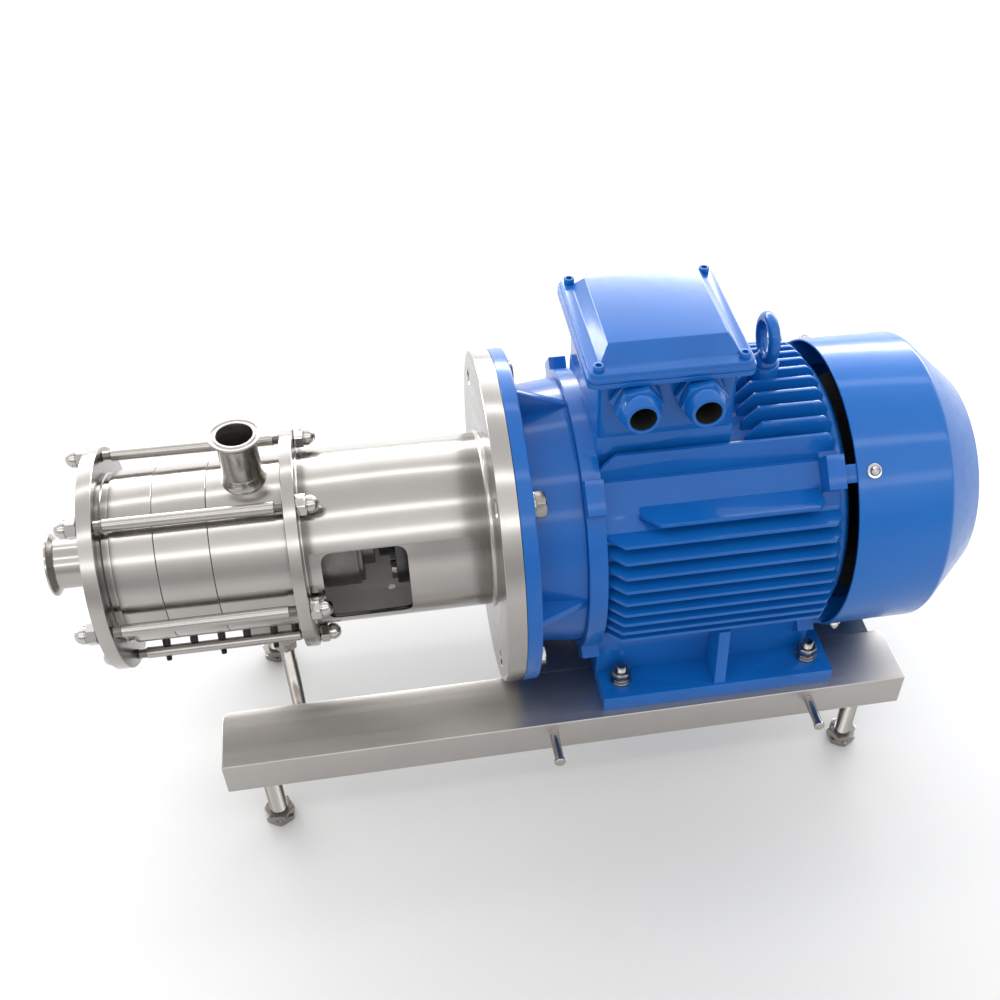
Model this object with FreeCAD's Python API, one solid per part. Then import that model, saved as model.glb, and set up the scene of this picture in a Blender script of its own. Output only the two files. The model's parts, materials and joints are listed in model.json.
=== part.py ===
"""High shear emulsifying pump: a three stage in-line pump head on a flanged electric motor.

Millimetres, +Z up. The shaft lies along X with the inlet at the low end and the fan at the high end.
Work is drawn from the joint between the adapter flange and the motor (x = 0) and from the shaft
centre line (y = 0, z = 0), and every solid is shifted once, when it is saved, so that the origin is
the middle of the footprint at floor level.
"""
import FreeCAD, Part
import math
import os

os.makedirs("parts", exist_ok=True)
V = FreeCAD.Vector
AXIS_X = V(1, 0, 0)
AXIS_Y = V(0, 1, 0)
AXIS_Z = V(0, 0, 1)

# Clearances
SEAT = 0.05          # radial gap of a round piece seated in its bore
RUN = 0.05           # radial gap of a sliding or running fit
FREE = 1.0           # gap between pieces that turn past each other
BOLT_PLAY = 0.6      # radial gap round a bolt in its clearance hole

# Motor frame size 160: heights, feet and flange
SHAFT_HEIGHT = 160.0
BODY_R = 134.0
BODY_WALL = 9.0
BELL_STEP = 1.0
BELL_R = BODY_R + BELL_STEP
FLANGE_WASHER_R = 14.0
FLANGE_WASHER_T = 3.0
FLANGE_BOLT_AF = 24.0
FLANGE_BOLT_HEAD = 10.0
FLANGE_BOLT_R = 8.0
FLANGE_PCD = 2 * (BELL_R + FLANGE_WASHER_R + 1.0)
FLANGE_EDGE = 25.0
FLANGE_D = FLANGE_PCD + 2 * FLANGE_EDGE
FLANGE_SPIGOT_D = 250.0
SPIGOT_PROUD = 5.0
FLANGE_T = 15.0
FLANGE_HOLE_D = 18.5
FLANGE_BOLTS = 4
FOOT_SPAN = 254.0
FOOT_PITCH = 210.0
FOOT_FIRST = 108.0
FOOT_OUT = 26.0
FOOT_W = 63.0
FOOT_L = 256.0
FOOT_T = 20.0
FOOT_HOLE_D = 14.5
LEG_T = 42.0
LEG_IN = 15.0
LEG_TOP = -62.0
MOTOR_SHAFT_D = 42.0
MOTOR_SHAFT_L = 110.0
MOTOR_END_RECESS = 6.0

# Foot fasteners
FOOT_BOLT_R = 6.0
FOOT_BOLT_AF = 19.0
FOOT_HEAD_T = 7.5
FOOT_TAIL = 22.0
FOOT_WASHER = (12.0, 2.5)
FOOT_SPRING = (10.5, 3.0)
FOOT_NUT_T = 10.0

# Motor casting
BODY_X0 = 66.0
BODY_X1 = 322.0
FIN_R = 158.0
FIN_T = 4.0
FIN_PITCH = 15.5
SIDE_FINS = 9
SIDE_FIN_TOP = 70.0
TOP_FIN_PITCH = 16.0
TOP_FINS = 11
FIN_X0 = 84.0
FIN_X1 = 320.0
FIN_CHAMFER = 16.0
CORNER_FIN_T = 5.0
CORNER_FIN_X0 = 120.0
CORNER_FIN_X1 = 302.0
BELL_X1 = 62.0
RIB_T = 9.0
GUSSET_T = 12.0
GUSSET_TOP = -66.0
RIB_EDGE = 12.0
END_RING_R = 148.0
END_RING_L = 18.0
LUG_R = 160.0
LUG_W = 34.0
LUG_DEPTH = 55.0
CORNER_PAD_OUT = (128.0, 66.0)
CORNER_PAD_TOP = (86.0, 106.0)
CORNER_PAD_IN = 60.0
SHIELD_PROUD = 6.0
SHIELD_T = 12.0
SHIELD_SPIGOT = 6.0
SHIELD_WALL = 8.0
BELL_WALL = 8.0
BELL_RISE = 5.0
BELL_DEPTH = 26.0
PAD_Z = 150.0
CABLE_HOLE_R = 30.0

# Motor inside
CORE_L = 150.0
CORE_DEPTH = 49.0
CORE_BORE_R = BODY_R - BODY_WALL - CORE_DEPTH
AIR_GAP = 1.0
CORE_SHAFT_R = 28.0
WINDING_L = 34.0
WINDING_CLEAR = 13.0
WINDING_WALL = 6.0
BEARING_D = 100.0
BEARING_W = 25.0
BEARING_BORE = 45.0
REAR_BEARING_D = 85.0
REAR_BEARING_W = 19.0
BEARING_X = (8.0, 312.0)
RACE_T = (9.0, 8.0)
RACE_GAP = 0.5
REAR_HUB_R = 52.0
SHAFT_EXIT_R = 30.0
REAR_EXIT_R = 24.0
FAN_SHAFT_R = 19.0
FAN_SHAFT_END = 18.0

# Fan end
COVER_R = 156.5
COVER_T = 2.0
COVER_X0 = 335.0
COVER_X1 = 433.0
COVER_END_X = 485.0
COVER_END_R = 110.0
COVER_SCREW_X = 352.0
COVER_SCREW_ANGLES = (46.0, 136.0, 226.0, 316.0)
COVER_SCREW_R = 3.0
COVER_BOSS_W = 18.0
GRILLE_RINGS = ((28.0, 58.0), (66.0, 98.0))
GRILLE_COUNTS = (10, 16)
GRILLE_SLOT_W = 8.0
FAN_R = 118.0
FAN_HUB_R = 34.0
FAN_L = 38.0
FAN_DISC_T = 4.0
FAN_X1 = 409.0
BLADE_T = 4.0
FAN_BLADES = 7

# Terminal box
BOX_X = 149.0
BOX_L = 132.0
BOX_W = 142.0
BOX_TOP = 221.0
BOX_WALL = 6.0
LID_L = 158.0
LID_W = 169.0
LID_RIM_T = 9.0
LID_PANEL_L = 112.0
LID_PANEL_W = 112.0
LID_PANEL_Z = 245.0
LID_WALL = 5.0
LID_CORNER = 9.0
LID_SCREW_IN = 11.0
LID_SCREW_R = 2.5
LID_HEAD = (4.5, 5.0)
LID_PANEL_FOOT = (18.0, 20.0)
BOX_RIM_T = 5.0
BOARD = (68.0, 12.0)
BOARD_Y = (33.0, 61.0)
BOARD_STUD_R = 3.0
BOARD_STUD_TOP = 28.0
BOARD_STUD_PITCH = 22.0
BOARD_STUD_Y = (40.0, 54.0)
GLAND_PITCH = 61.0
GLAND_NECK_R = 20.0
GLAND_COLLAR = (44.0, 9.0)
GLAND_GRIP = (40.0, 12.0)
GLAND_CAP = (17.5, 14.0)
GLAND_NUT = (50.0, 5.0)
GLAND_Z = 194.0
GLAND_BORE_D = 25.0

# Eyebolt
EYE_X = 266.0
EYE_BASE_Z = 168.0
EYE_BOSS_R = 15.0
EYE_COLLAR_H = 8.0
EYE_SHANK_L = 15.0
EYE_RING_R = 20.0
EYE_BAR_R = 6.0

# Pump head
PLATE_R = 113.0
INLET_PLATE_X0 = -405.0
INLET_PLATE_T = 14.0
REAR_PLATE_X0 = -217.0
REAR_PLATE_T = 12.5
SPIGOT_R = 85.0
SPIGOT_T = 8.0
CASING_R = 88.0
CASING_BORE_R = 68.0
STAGE_X = (-383.0, -342.0, -291.0)
INLET_FACE_X = -458.0
INLET_PIPE_D = 50.8
INLET_BORE_D = 47.6
INLET_FERRULE_D = 64.0
OUTLET_X = -254.0
OUTLET_FACE_Z = 141.0
OUTLET_PIPE_D = 38.1
OUTLET_BORE_D = 35.0
OUTLET_FERRULE_D = 50.5
FERRULE_T = 2.9
FERRULE_CONE = 4.0

# Tie rods
ROD_COUNT = 6
ROD_CIRCLE_R = 104.0
ROD_R = 6.0
ROD_THREAD_R = 5.2
ROD_SHOULDER = 8.0
ROD_PHASE = 30.0
NUT_AF = 19.0
NUT_HEX_T = 10.0
NUT_DOME = 9.0
SCREW_R = 3.0
LONG_SCREWS = (-362.0, -306.0, -252.0)
SHORT_SCREWS = (-334.0, -280.0, -230.0)
LONG_TAIL_R = 115.0

# Stator and rotor teeth
STATOR_PLATE_T = 5.0
STATOR_PLATE_R = 72.0
EYE_R = 30.0
RING_L = 18.0
TOOTH_GAP = 1.0
STATOR_RINGS = ((40.0, 45.0), (54.0, 60.0))
ROTOR_RINGS = ((46.0, 53.0), (61.0, 65.0))
RING_SLOTS = (18, 24)
SLOT_W = 4.0
ROTOR_TIP_GAP = 2.0
ROTOR_DISC_T = 7.0
ROTOR_HUB_R = 20.0
ROTOR_HUB_FRONT = 5.0
ROTOR_HUB_BACK = 4.0
PUMP_SHAFT_R = 14.0
PUMP_SHAFT_BACK_R = 17.5
LOCK_THREAD_R = 10.0
LOCK_NUT_AF = 30.0
LOCK_NUT_T = 14.0
GASKET_R = 76.0
GASKET_W = 3.0
GASKET_T = 1.5

# Shaft seal and lantern
SEAL_HOUSING_R = 54.0
SEAL_BORE_R = 38.0
SEAL_X1 = -150.0
SEAL_COLLAR_R = 34.0
SEAL_COLLAR_X1 = -138.0
SEAT_R = 28.0
SEAL_FACE_X = -228.0
SEAL_RING_R = 30.0
SEAL_RING_L = 17.0
LANTERN_R = 91.0
LANTERN_T = 5.0
WELD = 3.0
REAR_WELD = 1.2
ADAPTER_T = 19.0
WINDOW_X0 = -189.0
WINDOW_X1 = -105.0
WINDOW_Z0 = -40.0
WINDOW_Z1 = 47.0
WINDOW_CORNER = 8.0
DRAIN_X = -125.0
DRAIN_R = 4.0

# Coupling
COUPLING_R = 58.0
COUPLING_FLANGE_T = 13.0
COUPLING_JOINT_X = -104.0
COUPLING_HUB_R = 32.0
COUPLING_PUMP_X0 = -133.0
COUPLING_MOTOR_X1 = -34.0
COUPLING_PCD = 94.0
COUPLING_BOLTS = 8
COUPLING_BOLT_R = 4.0
COUPLING_BOLT_AF = 13.0
COUPLING_HEAD_T = 5.5
COUPLING_NUT_T = 6.5
COUPLING_TAIL = 9.0

# Base
FLOOR_DROP = 148.0
RAIL_X0 = -319.0
RAIL_X1 = 427.0
RAIL_W = 74.0
RAIL_Y = 124.5
RAIL_H = 42.0
RAIL_T = 4.0
CROSS_W = 76.0
CROSS_CLEAR = 11.0
CROSS_X = (FLANGE_T + CROSS_CLEAR + CROSS_W / 2, 372.0)
CROSS_H = 30.0
PIN_X = (29.0, 316.0)
PIN_Z = -175.0
PIN_R = 5.0
PIN_L = 36.0
PIN_HEAD_R = 6.0
PIN_HEAD_T = 5.0
LEVEL_X = (-280.0, 391.0)
STUD_R = 10.0
LEVEL_NUT_AF = 30.0
LEVEL_NUT_T = 9.0
LEVEL_TRAVEL = 15.0
BOSS_R = 17.0
SUPPORT_X = -250.0
SUPPORT_STUD_R = 8.0
SUPPORT_NUT_AF = 24.0
SUPPORT_NUT_T = 13.0
SUPPORT_FOOT_AF = 27.0
SUPPORT_FOOT_T = 12.0
SUPPORT_CONE = 8.0
SUPPORT_ROOM = 4.0
SADDLE_Z = -118.0
BOSS_END_Z = -146.0
SADDLE_X = (-34.0, 29.0)
SADDLE_W = 44.0
SUPPORT_BOSS_R = 15.0

# Derived places
FLOOR_Z = -SHAFT_HEIGHT - FLOOR_DROP
RAIL_TOP = -SHAFT_HEIGHT
RAIL_BOTTOM = RAIL_TOP - RAIL_H
INLET_PLATE_X1 = INLET_PLATE_X0 + INLET_PLATE_T
REAR_PLATE_X1 = REAR_PLATE_X0 + REAR_PLATE_T
BODY_MID_X = FOOT_FIRST + FOOT_PITCH / 2
SHIFT = V(-(INLET_FACE_X + COVER_END_X) / 2, 0, -FLOOR_Z)


def rod(x0, x1, r, y=0.0, z=0.0):
    """Round bar along X."""
    return Part.makeCylinder(r, x1 - x0, V(x0, y, z), AXIS_X)


def ring(x0, x1, outer, inner):
    """Plain ring about the shaft."""
    return rod(x0, x1, outer).cut(rod(x0 - 1, x1 + 1, inner))


def post(x, y, z0, z1, r):
    """Round bar along Z."""
    return Part.makeCylinder(r, z1 - z0, V(x, y, z0), AXIS_Z)


def block(x0, x1, y0, y1, z0, z1):
    """Box between two corners."""
    return Part.makeBox(x1 - x0, y1 - y0, z1 - z0, V(x0, y0, z0))


def turned(points):
    """Solid of revolution about the shaft from (x, radius) points."""
    corners = [V(x, 0, r) for x, r in points]
    face = Part.Face(Part.makePolygon(corners + corners[:1]))
    return face.revolve(V(0, 0, 0), AXIS_X, 360)


def prism(points, path):
    """Flat outline pushed along a vector."""
    return Part.Face(Part.makePolygon(list(points) + [points[0]])).extrude(path)


def hexagon(across_flats, length, place, axis):
    """Hexagonal prism that starts at a place and points along an axis."""
    corner = across_flats / math.sqrt(3)
    corners = [V(corner * math.cos(math.radians(60 * k)), corner * math.sin(math.radians(60 * k)), 0)
               for k in range(6)]
    solid = prism(corners, V(0, 0, length))
    solid.Placement = FreeCAD.Placement(place, FreeCAD.Rotation(AXIS_Z, axis))
    return solid


def polar(angle, r):
    """Y and Z at an angle from the top, measured towards the front side."""
    return -r * math.sin(math.radians(angle)), r * math.cos(math.radians(angle))


def around(shape, angle):
    """Copy turned about the shaft by an angle from the top towards the front side."""
    copy = shape.copy()
    copy.rotate(V(0, 0, 0), AXIS_X, angle)
    return copy


def merge(shapes):
    """One solid from touching shapes."""
    first = shapes[0]
    return first.fuse(shapes[1:]).removeSplitter()


def save(node, solids):
    """Shift the solids to the object's frame and write them as one node."""
    moved = []
    for solid in solids:
        copy = solid.copy()
        copy.translate(SHIFT)
        moved += copy.Solids
    shape = moved[0] if len(moved) == 1 else Part.makeCompound(moved)
    shape.exportStep("parts/" + node + ".step")


def rod_angles():
    """Angles of the tie rods, from the top."""
    return [ROD_PHASE + k * 360.0 / ROD_COUNT for k in range(ROD_COUNT)]


def flange_angles():
    """Angles of the flange bolts, from the top."""
    return [45.0 + k * 360.0 / FLANGE_BOLTS for k in range(FLANGE_BOLTS)]


def drill(shape, angles, circle_r, hole_r, x0, x1):
    """Cut a circle of holes along X."""
    for angle in angles:
        y, z = polar(angle, circle_r)
        shape = shape.cut(rod(x0 - 1, x1 + 1, hole_r, y, z))
    return shape


def make_rail(side):
    """Bent sheet rail open below, with closed ends and a tapped boss over each foot."""
    y = side * RAIL_Y
    outer = block(RAIL_X0, RAIL_X1, y - RAIL_W / 2, y + RAIL_W / 2, RAIL_BOTTOM, RAIL_TOP)
    inner_edge_y = y - side * RAIL_W / 2
    corners = [e for e in outer.Edges if is_corner(e, inner_edge_y)]
    outer = outer.makeFillet(9.0, corners)
    inner = block(RAIL_X0 + RAIL_T, RAIL_X1 - RAIL_T, y - RAIL_W / 2 + RAIL_T,
                  y + RAIL_W / 2 - RAIL_T, RAIL_BOTTOM - 1, RAIL_TOP - RAIL_T)
    rail = outer.cut(inner)
    for x in LEVEL_X:
        rail = rail.fuse(post(x, y, RAIL_BOTTOM, RAIL_TOP - RAIL_T + 0.5, BOSS_R))
        rail = rail.cut(post(x, y, RAIL_BOTTOM - 1, RAIL_TOP - RAIL_T, STUD_R + RUN))
    for x in foot_hole_x():
        rail = rail.cut(post(x, side * FOOT_SPAN / 2, RAIL_TOP - 2 * RAIL_T, RAIL_TOP + 1, FOOT_HOLE_D / 2))
    return rail


def is_corner(edge, y):
    """True for an upright edge of the rail on its inner side."""
    box = edge.BoundBox
    return box.ZLength > RAIL_H - 1 and abs(box.YMin - y) < 0.1


def foot_hole_x():
    """X of the two holes in each motor foot."""
    return [FOOT_FIRST, FOOT_FIRST + FOOT_PITCH]


def make_base():
    """Rails, the members that join them, the hood pins and the levelling feet."""
    save("base_rail_front", [make_rail(-1)])
    save("base_rail_rear", [make_rail(1)])
    half = RAIL_Y - RAIL_W / 2
    members = []
    for x in CROSS_X:
        tube = block(x - CROSS_W / 2, x + CROSS_W / 2, -half, half, RAIL_TOP - CROSS_H, RAIL_TOP)
        hollow = block(x - CROSS_W / 2 + RAIL_T, x + CROSS_W / 2 - RAIL_T, -half - 1, half + 1,
                       RAIL_TOP - CROSS_H - 1, RAIL_TOP - RAIL_T)
        members.append(tube.cut(hollow))
    save("cross_members", members)
    pins = []
    for side in (-1, 1):
        face = side * (RAIL_Y + RAIL_W / 2)
        for x in PIN_X:
            start = V(x, face, PIN_Z)
            shank = Part.makeCylinder(PIN_R, PIN_L, start, V(0, side, 0))
            head = Part.makeCylinder(PIN_HEAD_R, PIN_HEAD_T, V(x, face + side * PIN_L, PIN_Z), V(0, side, 0))
            pins.append(merge([shank, head]))
    save("hood_pins", pins)
    number = 1
    for side in (-1, 1):
        for x in LEVEL_X:
            save("levelling_foot_%d" % number, [make_levelling_foot(x, side * RAIL_Y)])
            number += 1


def make_levelling_foot(x, y):
    """Threaded stud with a hexagon foot and a thin nut jammed on it."""
    foot = hexagon(LEVEL_NUT_AF, LEVEL_NUT_T, V(x, y, FLOOR_Z), AXIS_Z)
    nut = hexagon(LEVEL_NUT_AF, LEVEL_NUT_T, V(x, y, FLOOR_Z + LEVEL_NUT_T), AXIS_Z)
    nut.rotate(V(x, y, 0), AXIS_Z, 25)
    stud = post(x, y, FLOOR_Z, RAIL_TOP - RAIL_T - LEVEL_TRAVEL, STUD_R)
    return merge([foot, nut, stud])


def make_plates():
    """Inlet plate with its spigot, rear plate, inlet pipe."""
    plate = rod(INLET_PLATE_X0, INLET_PLATE_X1, PLATE_R)
    plate = chamfer_rim(plate, PLATE_R, 1.0)
    spigot = rod(INLET_PLATE_X1, INLET_PLATE_X1 + SPIGOT_T, SPIGOT_R)
    plate = merge([plate, spigot])
    plate = plate.cut(rod(INLET_PLATE_X0 - 1, INLET_PLATE_X1 + SPIGOT_T + 1, INLET_PIPE_D / 2 + SEAT))
    plate = drill(plate, rod_angles(), ROD_CIRCLE_R, ROD_THREAD_R + BOLT_PLAY, INLET_PLATE_X0, INLET_PLATE_X1)
    save("inlet_plate", [plate])
    rear = chamfer_rim(rod(REAR_PLATE_X0, REAR_PLATE_X1, PLATE_R), PLATE_R, 1.0)
    rear = rear.cut(rod(REAR_PLATE_X0 - 1, REAR_PLATE_X1 + 1, SEAT_R + SEAT))
    rear = drill(rear, rod_angles(), ROD_CIRCLE_R, ROD_THREAD_R + BOLT_PLAY, REAR_PLATE_X0, REAR_PLATE_X1)
    save("rear_plate", [rear])
    end = INLET_PLATE_X1 + SPIGOT_T
    pipe = ferrule_pipe(end - INLET_FACE_X, INLET_FERRULE_D, INLET_PIPE_D, INLET_BORE_D)
    pipe.rotate(V(0, 0, 0), AXIS_Y, -90)
    pipe.translate(V(end, 0, 0))
    save("inlet_pipe", [pipe])


def chamfer_rim(disc, r, size):
    """Break the two rim edges of a disc."""
    edges = [e for e in disc.Edges if hasattr(e.Curve, "Radius") and abs(e.Curve.Radius - r) < 0.01]
    return disc.makeChamfer(size, edges)


def ferrule_pipe(length, ferrule_d, pipe_d, bore_d):
    """Pipe along Z from the origin with a clamp ferrule at its far end."""
    cone = (ferrule_d - pipe_d) / 2
    top = length
    profile = [(bore_d / 2, 0), (pipe_d / 2, 0), (pipe_d / 2, top - FERRULE_T - cone * 0.6),
               (ferrule_d / 2 - 1, top - FERRULE_T), (ferrule_d / 2, top - FERRULE_T + 0.8),
               (ferrule_d / 2, top), (bore_d / 2, top)]
    corners = [V(r, 0, z) for r, z in profile]
    face = Part.Face(Part.makePolygon(corners + corners[:1]))
    return face.revolve(V(0, 0, 0), AXIS_Z, 360)


def make_housings():
    """Two stage housings, the discharge casing and the outlet pipe."""
    ends = list(STAGE_X[1:]) + [REAR_PLATE_X0]
    names = ("stage_housing_1", "stage_housing_2", "discharge_casing")
    for name, x0, x1 in zip(names, STAGE_X, ends):
        shell = chamfer_rim(rod(x0, x1, CASING_R), CASING_R, 0.6)
        shell = shell.cut(rod(x0 - 1, x1 + 1, CASING_BORE_R))
        shell = shell.cut(rod(x0 - 1, x0 + STATOR_PLATE_T, STATOR_PLATE_R + SEAT))
        shell = shell.cut(ring(x1 - GASKET_T, x1 + 1, GASKET_R + GASKET_W / 2, GASKET_R - GASKET_W / 2))
        for screw_x in LONG_SCREWS + SHORT_SCREWS:
            if x0 < screw_x < x1:
                shell = shell.cut(radial_bar(screw_x, CASING_R - 7, CASING_R + 5, SCREW_R + SEAT))
        if name == "discharge_casing":
            shell = shell.cut(post(OUTLET_X, 0, 0, CASING_R + 9, OUTLET_BORE_D / 2))
            shell = shell.cut(post(OUTLET_X, 0, outlet_seat_z(), CASING_R + 9, OUTLET_PIPE_D / 2 + SEAT))
        save(name, [shell])
    pipe = ferrule_pipe(OUTLET_FACE_Z - outlet_seat_z(), OUTLET_FERRULE_D, OUTLET_PIPE_D, OUTLET_BORE_D)
    pipe.translate(V(OUTLET_X, 0, outlet_seat_z()))
    pipe_r = OUTLET_PIPE_D / 2
    weld = Part.makeCone(pipe_r + 8, pipe_r - 0.5, 12, V(OUTLET_X, 0, CASING_R - 7), AXIS_Z)
    weld = weld.cut(post(OUTLET_X, 0, 0, OUTLET_FACE_Z, OUTLET_BORE_D / 2 + 0.5))
    weld = weld.cut(rod(OUTLET_X - 60, OUTLET_X + 60, CASING_R))
    save("outlet_pipe", [merge([pipe, weld])])
    gaskets = []
    for x in ends:
        gaskets.append(ring(x - GASKET_T, x, GASKET_R + GASKET_W / 2 - 0.1, GASKET_R - GASKET_W / 2 + 0.1))
    save("casing_seals", gaskets)


def outlet_seat_z():
    """Height of the seat that the outlet pipe stands on inside the casing wall."""
    return (CASING_BORE_R + CASING_R) / 2 - 6


def radial_bar(x, r0, r1, r):
    """Round bar along the radius through the lower front tie rod."""
    y, z = polar(ROD_PHASE + 120, 1)
    return Part.makeCylinder(r, r1 - r0, V(x, y * r0, z * r0), V(0, y, z))


def make_rods():
    """Tie rods with their threaded ends, the dome nuts, and the screws through the lower front rod."""
    reach = NUT_HEX_T - 1
    x0 = INLET_PLATE_X0 - reach
    x1 = REAR_PLATE_X1 + reach
    rods = []
    nuts = []
    for angle in rod_angles():
        y, z = polar(angle, ROD_CIRCLE_R)
        middle = rod(INLET_PLATE_X1 + ROD_SHOULDER, REAR_PLATE_X0 - ROD_SHOULDER, ROD_R, y, z)
        bar = merge([rod(x0, x1, ROD_THREAD_R, y, z), middle])
        if angle == ROD_PHASE + 120:
            for x in LONG_SCREWS + SHORT_SCREWS:
                bar = bar.cut(radial_bar(x, ROD_CIRCLE_R - 9, ROD_CIRCLE_R + 9, SCREW_R + 0.1))
        rods.append(bar)
        nuts.append(dome_nut(INLET_PLATE_X0, -1, y, z, angle))
        nuts.append(dome_nut(REAR_PLATE_X1, 1, y, z, angle))
    save("tie_rods", rods)
    save("dome_nuts", nuts)
    screws = []
    for x in LONG_SCREWS + SHORT_SCREWS:
        tail = LONG_TAIL_R if x in LONG_SCREWS else ROD_CIRCLE_R + 2
        screws.append(radial_bar(x, CASING_R - 6, tail, SCREW_R))
    save("locating_screws", screws)


def dome_nut(face_x, way, y, z, angle):
    """Dome nut on a tie rod: a hexagon with a ball end, bored for the thread."""
    base = hexagon(NUT_AF, NUT_HEX_T, V(face_x, y, z), V(way, 0, 0))
    neck = Part.makeCylinder(NUT_DOME, 3, V(face_x + way * NUT_HEX_T, y, z), V(way, 0, 0))
    ball = Part.makeSphere(NUT_DOME, V(face_x + way * (NUT_HEX_T + 3), y, z), V(way, 0, 0), 0, 90, 360)
    nut = merge([base, neck, ball])
    nut.rotate(V(face_x, y, z), AXIS_X, angle + 30)
    return nut.cut(Part.makeCylinder(ROD_THREAD_R + SEAT, NUT_HEX_T - 1, V(face_x, y, z), V(way, 0, 0)))


def slotted(body, x0, x1, rings, slots):
    """Cut radial slots in toothed rings."""
    for (inner, outer), count in zip(rings, slots):
        for k in range(count):
            tool = block(x0, x1, -SLOT_W / 2, SLOT_W / 2, inner - 0.45, outer + 0.45)
            body = body.cut(around(tool, 360.0 / count * (k + 0.5)))
    return body


def make_stages():
    """Three toothed stators held between the housings and three rotors on the pump shaft."""
    rotor_starts = []
    for number, x0 in enumerate(STAGE_X, start=1):
        ring_x0 = x0 + STATOR_PLATE_T
        stator = ring(x0, ring_x0, STATOR_PLATE_R, EYE_R)
        for inner, outer in STATOR_RINGS:
            stator = stator.fuse(ring(ring_x0, ring_x0 + RING_L, outer, inner))
        stator = slotted(stator, ring_x0 + 2, ring_x0 + RING_L + 1, STATOR_RINGS, RING_SLOTS)
        save("stator_%d" % number, [stator])
        disc_x0 = rotor_disc_x(x0)
        hub_x0 = disc_x0 - ROTOR_HUB_FRONT
        disc_x1 = disc_x0 + ROTOR_DISC_T
        rotor = turned([(hub_x0, PUMP_SHAFT_R + SEAT), (hub_x0, ROTOR_HUB_R), (disc_x0, ROTOR_HUB_R),
                        (disc_x0, ROTOR_RINGS[-1][1]), (disc_x1, ROTOR_RINGS[-1][1]),
                        (disc_x1, ROTOR_HUB_R), (disc_x1 + ROTOR_HUB_BACK, ROTOR_HUB_R),
                        (disc_x1 + ROTOR_HUB_BACK, PUMP_SHAFT_R + SEAT)])
        tip_x = ring_x0 + ROTOR_TIP_GAP
        for inner, outer in ROTOR_RINGS:
            rotor = rotor.fuse(ring(tip_x, disc_x0, outer, inner))
        rotor = slotted(rotor, tip_x - 1, disc_x0 - 1, ROTOR_RINGS, RING_SLOTS)
        save("rotor_%d" % number, [rotor])
        rotor_starts.append(hub_x0)
    hub_l = ROTOR_HUB_FRONT + ROTOR_DISC_T + ROTOR_HUB_BACK
    spacers = [ring(a + hub_l, b, ROTOR_HUB_R - 1, PUMP_SHAFT_R + SEAT)
               for a, b in zip(rotor_starts, rotor_starts[1:])]
    save("rotor_spacers", spacers)
    return rotor_starts[0], rotor_starts[-1] + hub_l


def rotor_disc_x(stage_x):
    """Front face of a rotor disc, from the start of its stage."""
    return stage_x + STATOR_PLATE_T + RING_L + 4


def make_pump_shaft(hub_start, hub_end):
    """Stepped pump shaft, the nut that clamps the rotors and the turning half of the seal."""
    thread_x = hub_start - LOCK_NUT_T
    back = COUPLING_JOINT_X - MOTOR_END_RECESS - 2
    shaft = turned([(thread_x, 0), (thread_x, LOCK_THREAD_R), (hub_start, LOCK_THREAD_R),
                    (hub_start, PUMP_SHAFT_R), (hub_end, PUMP_SHAFT_R), (hub_end, PUMP_SHAFT_BACK_R),
                    (back, PUMP_SHAFT_BACK_R), (back, 0)])
    save("pump_shaft", [shaft])
    nut = hexagon(LOCK_NUT_AF, LOCK_NUT_T, V(hub_start, 0, 0), V(-1, 0, 0))
    nose = Part.makeCone(LOCK_NUT_AF / 2 - 1, 6, 6, V(thread_x, 0, 0), V(-1, 0, 0))
    nut = merge([nut, nose])
    save("rotor_lock_nut", [nut.cut(rod(thread_x, hub_start, LOCK_THREAD_R + SEAT))])
    ring_x1 = SEAL_FACE_X - 0.1
    face = ring(ring_x1 - SEAL_RING_L, ring_x1, SEAL_RING_R, PUMP_SHAFT_BACK_R + SEAT)
    save("seal_rotating_ring", [face])


def make_seal():
    """Still seat in the rear plate and the seal housing behind it."""
    seat = ring(SEAL_FACE_X, REAR_PLATE_X1, SEAT_R, PUMP_SHAFT_BACK_R + FREE)
    save("seal_seat", [seat])
    back = SEAL_X1 - 8
    gap = PUMP_SHAFT_BACK_R + FREE
    housing = turned([(REAR_PLATE_X1, SEAL_BORE_R), (REAR_PLATE_X1, SEAL_HOUSING_R),
                      (SEAL_X1 - 4, SEAL_HOUSING_R), (SEAL_X1 - 4, SEAL_HOUSING_R - 3),
                      (SEAL_X1, SEAL_HOUSING_R - 3), (SEAL_X1, SEAL_COLLAR_R),
                      (SEAL_COLLAR_X1, SEAL_COLLAR_R), (SEAL_COLLAR_X1, gap),
                      (back, gap), (back, SEAL_BORE_R)])
    save("seal_housing", [housing])


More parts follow.
